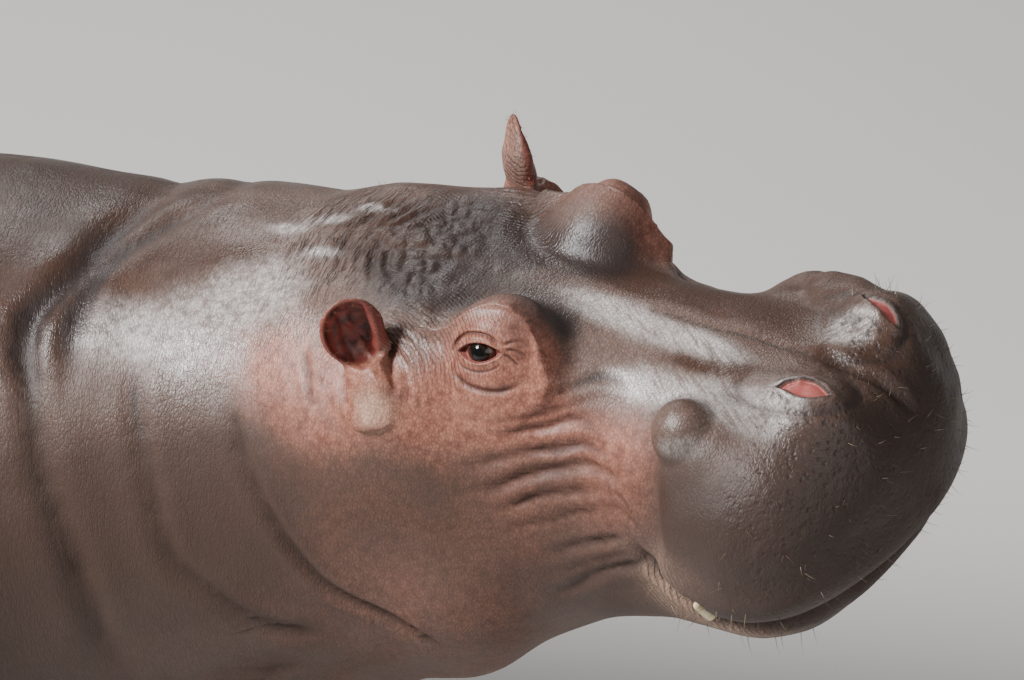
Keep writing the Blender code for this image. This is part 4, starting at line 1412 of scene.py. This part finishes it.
def paintSkin(hide):
    spine = hide.spine.copy()
    spine[:, 1] = abs(spine[:, 1])
    x = spine[:, 0]
    height = hide.points[:, 2]

    def spread(patches, places=spine):
        layers = [strength * patch(places, middle, size) for middle, size, strength in patches]
        return np.clip(sum(layers), 0, 1)

    belly = smoothStep(0.66, 0.36, height) * smoothStep(-0.6, -0.75, x) * smoothStep(0.50, 0.30, spine[:, 1])
    belly *= 0.42
    legs = smoothStep(0.42, 0.20, height) * 0.16
    toes = smoothStep(0.10, 0.03, height) * 0.30
    pink = np.maximum(spread(pinkPatches), np.maximum(belly, np.maximum(legs, toes)))
    muzzle = smoothStep(0.40, 0.53, x) * smoothStep(0.078, 0.045, spine[:, 2])
    mounds = spread([(middle, (0.034, 0.030, 0.030), 1.5) for middle in paintedSheenMounds], hide.spine)
    layers = {
        "tint": (pink, spread(palePatches), spread(darkAndShadePatches)),
        "mark": (np.clip(hide.foldShade, 0, 1), np.clip(hide.rim, 0, 1), muzzle),
        "spot": (np.clip(hide.nose, 0, 1), earHollow(hide.points), spread(paintedSheenPatches, hide.spine)),
        "shade": (spread(tanPatches, hide.spine), mounds, earRim(hide.points)),
    }
    for name, values in layers.items():
        layer = hide.mesh.attributes.new(name, "FLOAT_COLOR", "POINT")
        packed = np.stack([*values, np.ones(len(x))], axis=1)
        layer.data.foreach_set("color", packed.astype(np.float32).ravel())
    layer = hide.mesh.attributes.new("flow", "FLOAT_VECTOR", "POINT")
    layer.data.foreach_set("vector", hide.spine.astype(np.float32).ravel())


# The joined skin takes its marks from the nearest place on the skin without ears
bare = {"points": hide.points.copy(), "foldShade": hide.foldShade, "rim": hide.rim, "nose": hide.nose}
for side in sides:
    joinEar(skin, ears[side])
finder = KDTree(len(bare["points"]))
for index, point in enumerate(bare["points"]):
    finder.insert(point, index)
finder.balance()
hide = Hide(skin)
found = [finder.find(point) for point in hide.points]
nearest = np.array([f[1] for f in found])
kept = np.array([f[2] for f in found]) < 0.001
hide.foldShade = np.where(kept, bare["foldShade"][nearest], 0)
hide.rim = np.where(kept, bare["rim"][nearest], 0)
hide.nose = np.where(kept, bare["nose"][nearest], 0)
hide.points = softenedSeam(hide, kept)
hide.points[:, 2] = np.maximum(hide.points[:, 2], 0)
writePoints(hide.mesh, hide.points)
paintSkin(hide)
print("ears joined", sum(len(p.vertices) - 2 for p in skin.data.polygons), "triangles")


def finish(piece, material, nodes):
    piece.data.materials.clear()
    piece.data.materials.append(material)
    piece.data.shade_smooth()
    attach(piece, "root")
    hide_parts(*nodes)


finish(skin, hideMaterial, fleshNodes + ["ear_left", "ear_right"])
for side, sign in sides.items():
    finish(makeEye(side, sign), eyeMaterial, ["eye_" + side])
    canine = rounded("canine_" + side, "tusk_" + side, *smallParts["canine"])
    finish(canine, toothMaterial, ["tusk_" + side])
for pair in pairs:
    for side in sides:
        for k in range(1, 5):
            node = f"nail_{pair}_{side}_{k}"
            finish(rounded("toe_" + node, node, *smallParts["toe"]), nailMaterial, [node])


# Bristles: stiff ones on the lips, fine ones on ears, nape and tail
bristleSockets = ("Density", "Length", "Thickness", "Lean", "Seed", "Material")
bristlePlan = {
    # number on a square metre, length, thickness, how far they lean, seed
    "muzzle": (1100, 0.020, 0.00040, 0.6, 3),
    "snout": (2600, 0.026, 0.00050, 0.5, 8),
    "lips": (1500, 0.028, 0.00050, 0.7, 4),
    "ears": (16000, 0.009, 0.00028, 0.9, 5),
    "nape": (1100, 0.011, 0.00025, 0.8, 6),
    "tail": (9000, 0.045, 0.00045, 0.5, 7),
}


def bristleTree():
    tree = bpy.data.node_groups.new("Bristles", "GeometryNodeTree")
    tree.interface.new_socket("Geometry", in_out="INPUT", socket_type="NodeSocketGeometry")
    for name in bristleSockets:
        kind = {"Seed": "Int", "Material": "Material"}.get(name, "Float")
        tree.interface.new_socket(name, in_out="INPUT", socket_type="NodeSocket" + kind)
    tree.interface.new_socket("Geometry", in_out="OUTPUT", socket_type="NodeSocketGeometry")
    asked = tree.nodes.new("NodeGroupInput").outputs
    cone = addNode(tree, "GeometryNodeMeshCone", {"Vertices": 3, "Side Segments": 4, "Radius Top": 0.05,
                                                  "Radius Bottom": 1.0, "Depth": 1.0})
    given = {"Geometry": cone.outputs["Mesh"], "Name": "patch", "Value": cone.outputs["UV Map"]}
    patch = addNode(tree, "GeometryNodeStoreNamedAttribute", given, data_type="FLOAT2", domain="CORNER")
    position = addNode(tree, "GeometryNodeInputPosition").outputs[0]
    height = addNode(tree, "ShaderNodeSeparateXYZ", {0: position}).outputs[2]
    curl = mathNode(tree, "MULTIPLY", mathNode(tree, "MULTIPLY", height, height), 9.0)
    offset = addNode(tree, "ShaderNodeCombineXYZ", {0: curl})
    given = {"Geometry": patch.outputs[0], "Offset": offset.outputs[0]}
    bent = addNode(tree, "GeometryNodeSetPosition", given)
    given = {"Mesh": asked["Geometry"], "Density": asked["Density"], "Seed": asked["Seed"]}
    spread = addNode(tree, "GeometryNodeDistributePointsOnFaces", given)
    lean = addNode(tree, "FunctionNodeRandomValue", {"Seed": asked["Seed"]}, data_type="FLOAT_VECTOR")
    lean.inputs[0].default_value = (-1.0, -1.0, -3.14)
    lean.inputs[1].default_value = (1.0, 1.0, 3.14)
    given = {0: lean.outputs[0], "Scale": asked["Lean"]}
    leaned = addNode(tree, "ShaderNodeVectorMath", given, operation="SCALE").outputs[0]
    given = {0: spread.outputs["Rotation"], 1: leaned}
    turned = addNode(tree, "FunctionNodeRotateRotation", given, rotation_space="LOCAL")
    long = addNode(tree, "FunctionNodeRandomValue", {"Seed": asked["Seed"]}, data_type="FLOAT")
    long.inputs[2].default_value = 0.45
    long.inputs[3].default_value = 1.0
    length = mathNode(tree, "MULTIPLY", asked["Length"], long.outputs[1])
    size = addNode(tree, "ShaderNodeCombineXYZ", {0: asked["Thickness"], 1: asked["Thickness"], 2: length})
    hairs = addNode(tree, "GeometryNodeInstanceOnPoints", {
        "Points": spread.outputs["Points"], "Instance": bent.outputs[0], "Rotation": turned.outputs[0],
        "Scale": size.outputs[0]})
    real = addNode(tree, "GeometryNodeRealizeInstances", {0: hairs.outputs[0]})
    root, mark = (addNode(tree, "GeometryNodeInputNamedAttribute", {"Name": name},
                          data_type="FLOAT_VECTOR").outputs[0] for name in ("unwrap", "patch"))
    mark = addNode(tree, "ShaderNodeVectorMath", {0: mark, "Scale": 0.003}, operation="SCALE").outputs[0]
    place = addNode(tree, "ShaderNodeVectorMath", {0: root, 1: mark}, operation="ADD").outputs[0]
    given = {"Geometry": real.outputs[0], "Name": "OFBake", "Value": place}
    baked = addNode(tree, "GeometryNodeStoreNamedAttribute", given, data_type="FLOAT2", domain="CORNER")
    given = {"Geometry": baked.outputs[0], "Material": asked["Material"]}
    final = addNode(tree, "GeometryNodeSetMaterial", given)
    end = tree.nodes.new("NodeGroupOutput")
    tree.links.new(final.outputs[0], end.inputs["Geometry"])
    return tree


# The part of the skin that bristles stand on, each point with its place on the skin's unwrap.
def bristleBed(name, wanted):
    form = bmesh.new()
    form.from_mesh(skin.data)
    form.verts.ensure_lookup_table()
    form.faces.ensure_lookup_table()
    bare = [face for face in form.faces if not all(wanted[v.index] for v in face.verts)]
    bmesh.ops.delete(form, geom=bare, context="FACES")
    bed = pieceOf(name, form)
    spine = alongSpine(readPoints(bed.data))
    around = np.arctan2(spine[:, 1], spine[:, 2] + 0.2) / (2 * math.pi) + 0.5
    unwrap = np.stack([0.02 + 0.96 * around, 0.02 + (spine[:, 0] + 2.6) / 3.4, np.zeros(len(spine))], axis=1)
    layer = bed.data.attributes.new("unwrap", "FLOAT_VECTOR", "POINT")
    layer.data.foreach_set("vector", unwrap.astype(np.float32).ravel())
    return bed


def growBristles(tree, name, wanted, material):
    bed = bristleBed("bristles_" + name, wanted)
    ids = {item.name: item.identifier for item in tree.interface.items_tree if item.in_out == "INPUT"}
    modifier = bed.modifiers.new("Bristles", "NODES")
    modifier.node_group = tree
    for socket, value in zip(bristleSockets, (*bristlePlan[name], material)):
        modifier[ids[socket]] = value
    mesh = settled(bed)
    mesh.attributes.remove(mesh.attributes["patch"])
    print(name, "bristles", len(mesh.polygons), [layer.name for layer in mesh.uv_layers])
    return bed


def bristleBeds():
    points = readPoints(skin.data)
    x, y, z = alongSpine(points).T
    aside = abs(y)
    earTop = np.zeros(len(points), dtype=bool)
    for sign in sides.values():
        a, b, c = intoEar(points, sign).T
        ring = np.hypot(a / earPlan["size"][0], c / earPlan["size"][2])
        earTop |= (ring > 0.80) & (ring < 1.1) & (b > -0.010) & (b < 0.015) & (c > -0.030)
    return {
        "muzzle": (x > 0.44) & (z < 0.045) & (z > -0.19),
        "snout": (x > 0.455) & (x < 0.515) & (aside > 0.085) & (aside < 0.135) & (z > 0.03),
        "lips": (x > 0.33) & (x < 0.50) & (z < -0.15) & (z > -0.24) & (aside > 0.10),
        "ears": earTop,
        "nape": (x > -0.45) & (x < 0.08) & (z > 0.045) & (aside < 0.13),
        "tail": (x < -2.44) & (points[:, 2] < 0.86),
    }


bristleMaterial = newMaterial("bristle", *plainLooks["bristle"])[0]
hairTree = bristleTree()
for name, wanted in bristleBeds().items():
    bed = growBristles(hairTree, name, wanted, bristleMaterial)
    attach(bed, "root")
print("bristles grown")


# Floor, light and camera
studio = {
    "floorColour": (0.62, 0.61, 0.59, 1),
    "floorReach": 120,
    "world": (0.88, 0.86, 0.84, 1),
    "worldStrength": 0.30,
    "lamps": (
        ("key", (-1.7, -1.5, 4.4), 1.5, 450),
        ("fill", (3.6, -3.0, 2.4), 2.5, 35),
        ("back", (-0.4, 4.4, 3.9), 2.0, 70),
    ),
    "lampAim": (0.3, 0, 0.8),
    "distance": 8.0,
    "lens": 252,
    "sideways": 34.1,        # of the camera from the animal's right side, before the head's turn
    "elevation": 34,
    "roll": 8.1,
    "aimRight": 0.0686,      # from the middle between the ears to the middle of the picture
    "aimDown": 0.0337,
}


def makeStage():
    form = bmesh.new()
    bmesh.ops.create_grid(form, x_segments=1, y_segments=1, size=studio["floorReach"])
    floor = pieceOf("floor", form)
    floor.data.materials.append(newMaterial("floor", studio["floorColour"], 0.7)[0])
    world = bpy.data.worlds.new("studio")
    bpy.context.scene.world = world
    world.use_nodes = True
    world.node_tree.nodes["Background"].inputs["Color"].default_value = studio["world"]
    world.node_tree.nodes["Background"].inputs["Strength"].default_value = studio["worldStrength"]
    for name, place, size, power in studio["lamps"]:
        lamp = bpy.data.lights.new(name, "AREA")
        lamp.shape = "DISK"
        lamp.size = size
        lamp.energy = power
        holder = bpy.data.objects.new(name, lamp)
        holder.location = place
        aim = Vector(studio["lampAim"]) - Vector(place)
        holder.rotation_euler = aim.to_track_quat("-Z", "Y").to_euler()
        bpy.context.scene.collection.objects.link(holder)


def makeCamera():
    turn = math.radians(studio["sideways"]) + headTurn
    rise = math.radians(studio["elevation"])
    roll = math.radians(studio["roll"])
    right = Vector((math.cos(turn), math.sin(turn), 0))
    back = Vector((math.sin(turn) * math.cos(rise), -math.cos(turn) * math.cos(rise), math.sin(rise)))
    above = back.cross(right)
    across = right * math.cos(roll) - above * math.sin(roll)
    upward = right * math.sin(roll) + above * math.cos(roll)
    target = headPlace + across * studio["aimRight"] - upward * studio["aimDown"]
    camera = bpy.data.objects.new("camera", bpy.data.cameras.new("camera"))
    camera.data.lens = studio["lens"]
    camera.data.clip_end = 500
    camera.matrix_world = Matrix.Translation(target + back * studio["distance"]) @ Matrix(
        (across, upward, back)).transposed().to_4x4()
    bpy.context.scene.collection.objects.link(camera)
    bpy.context.scene.camera = camera


makeStage()
makeCamera()
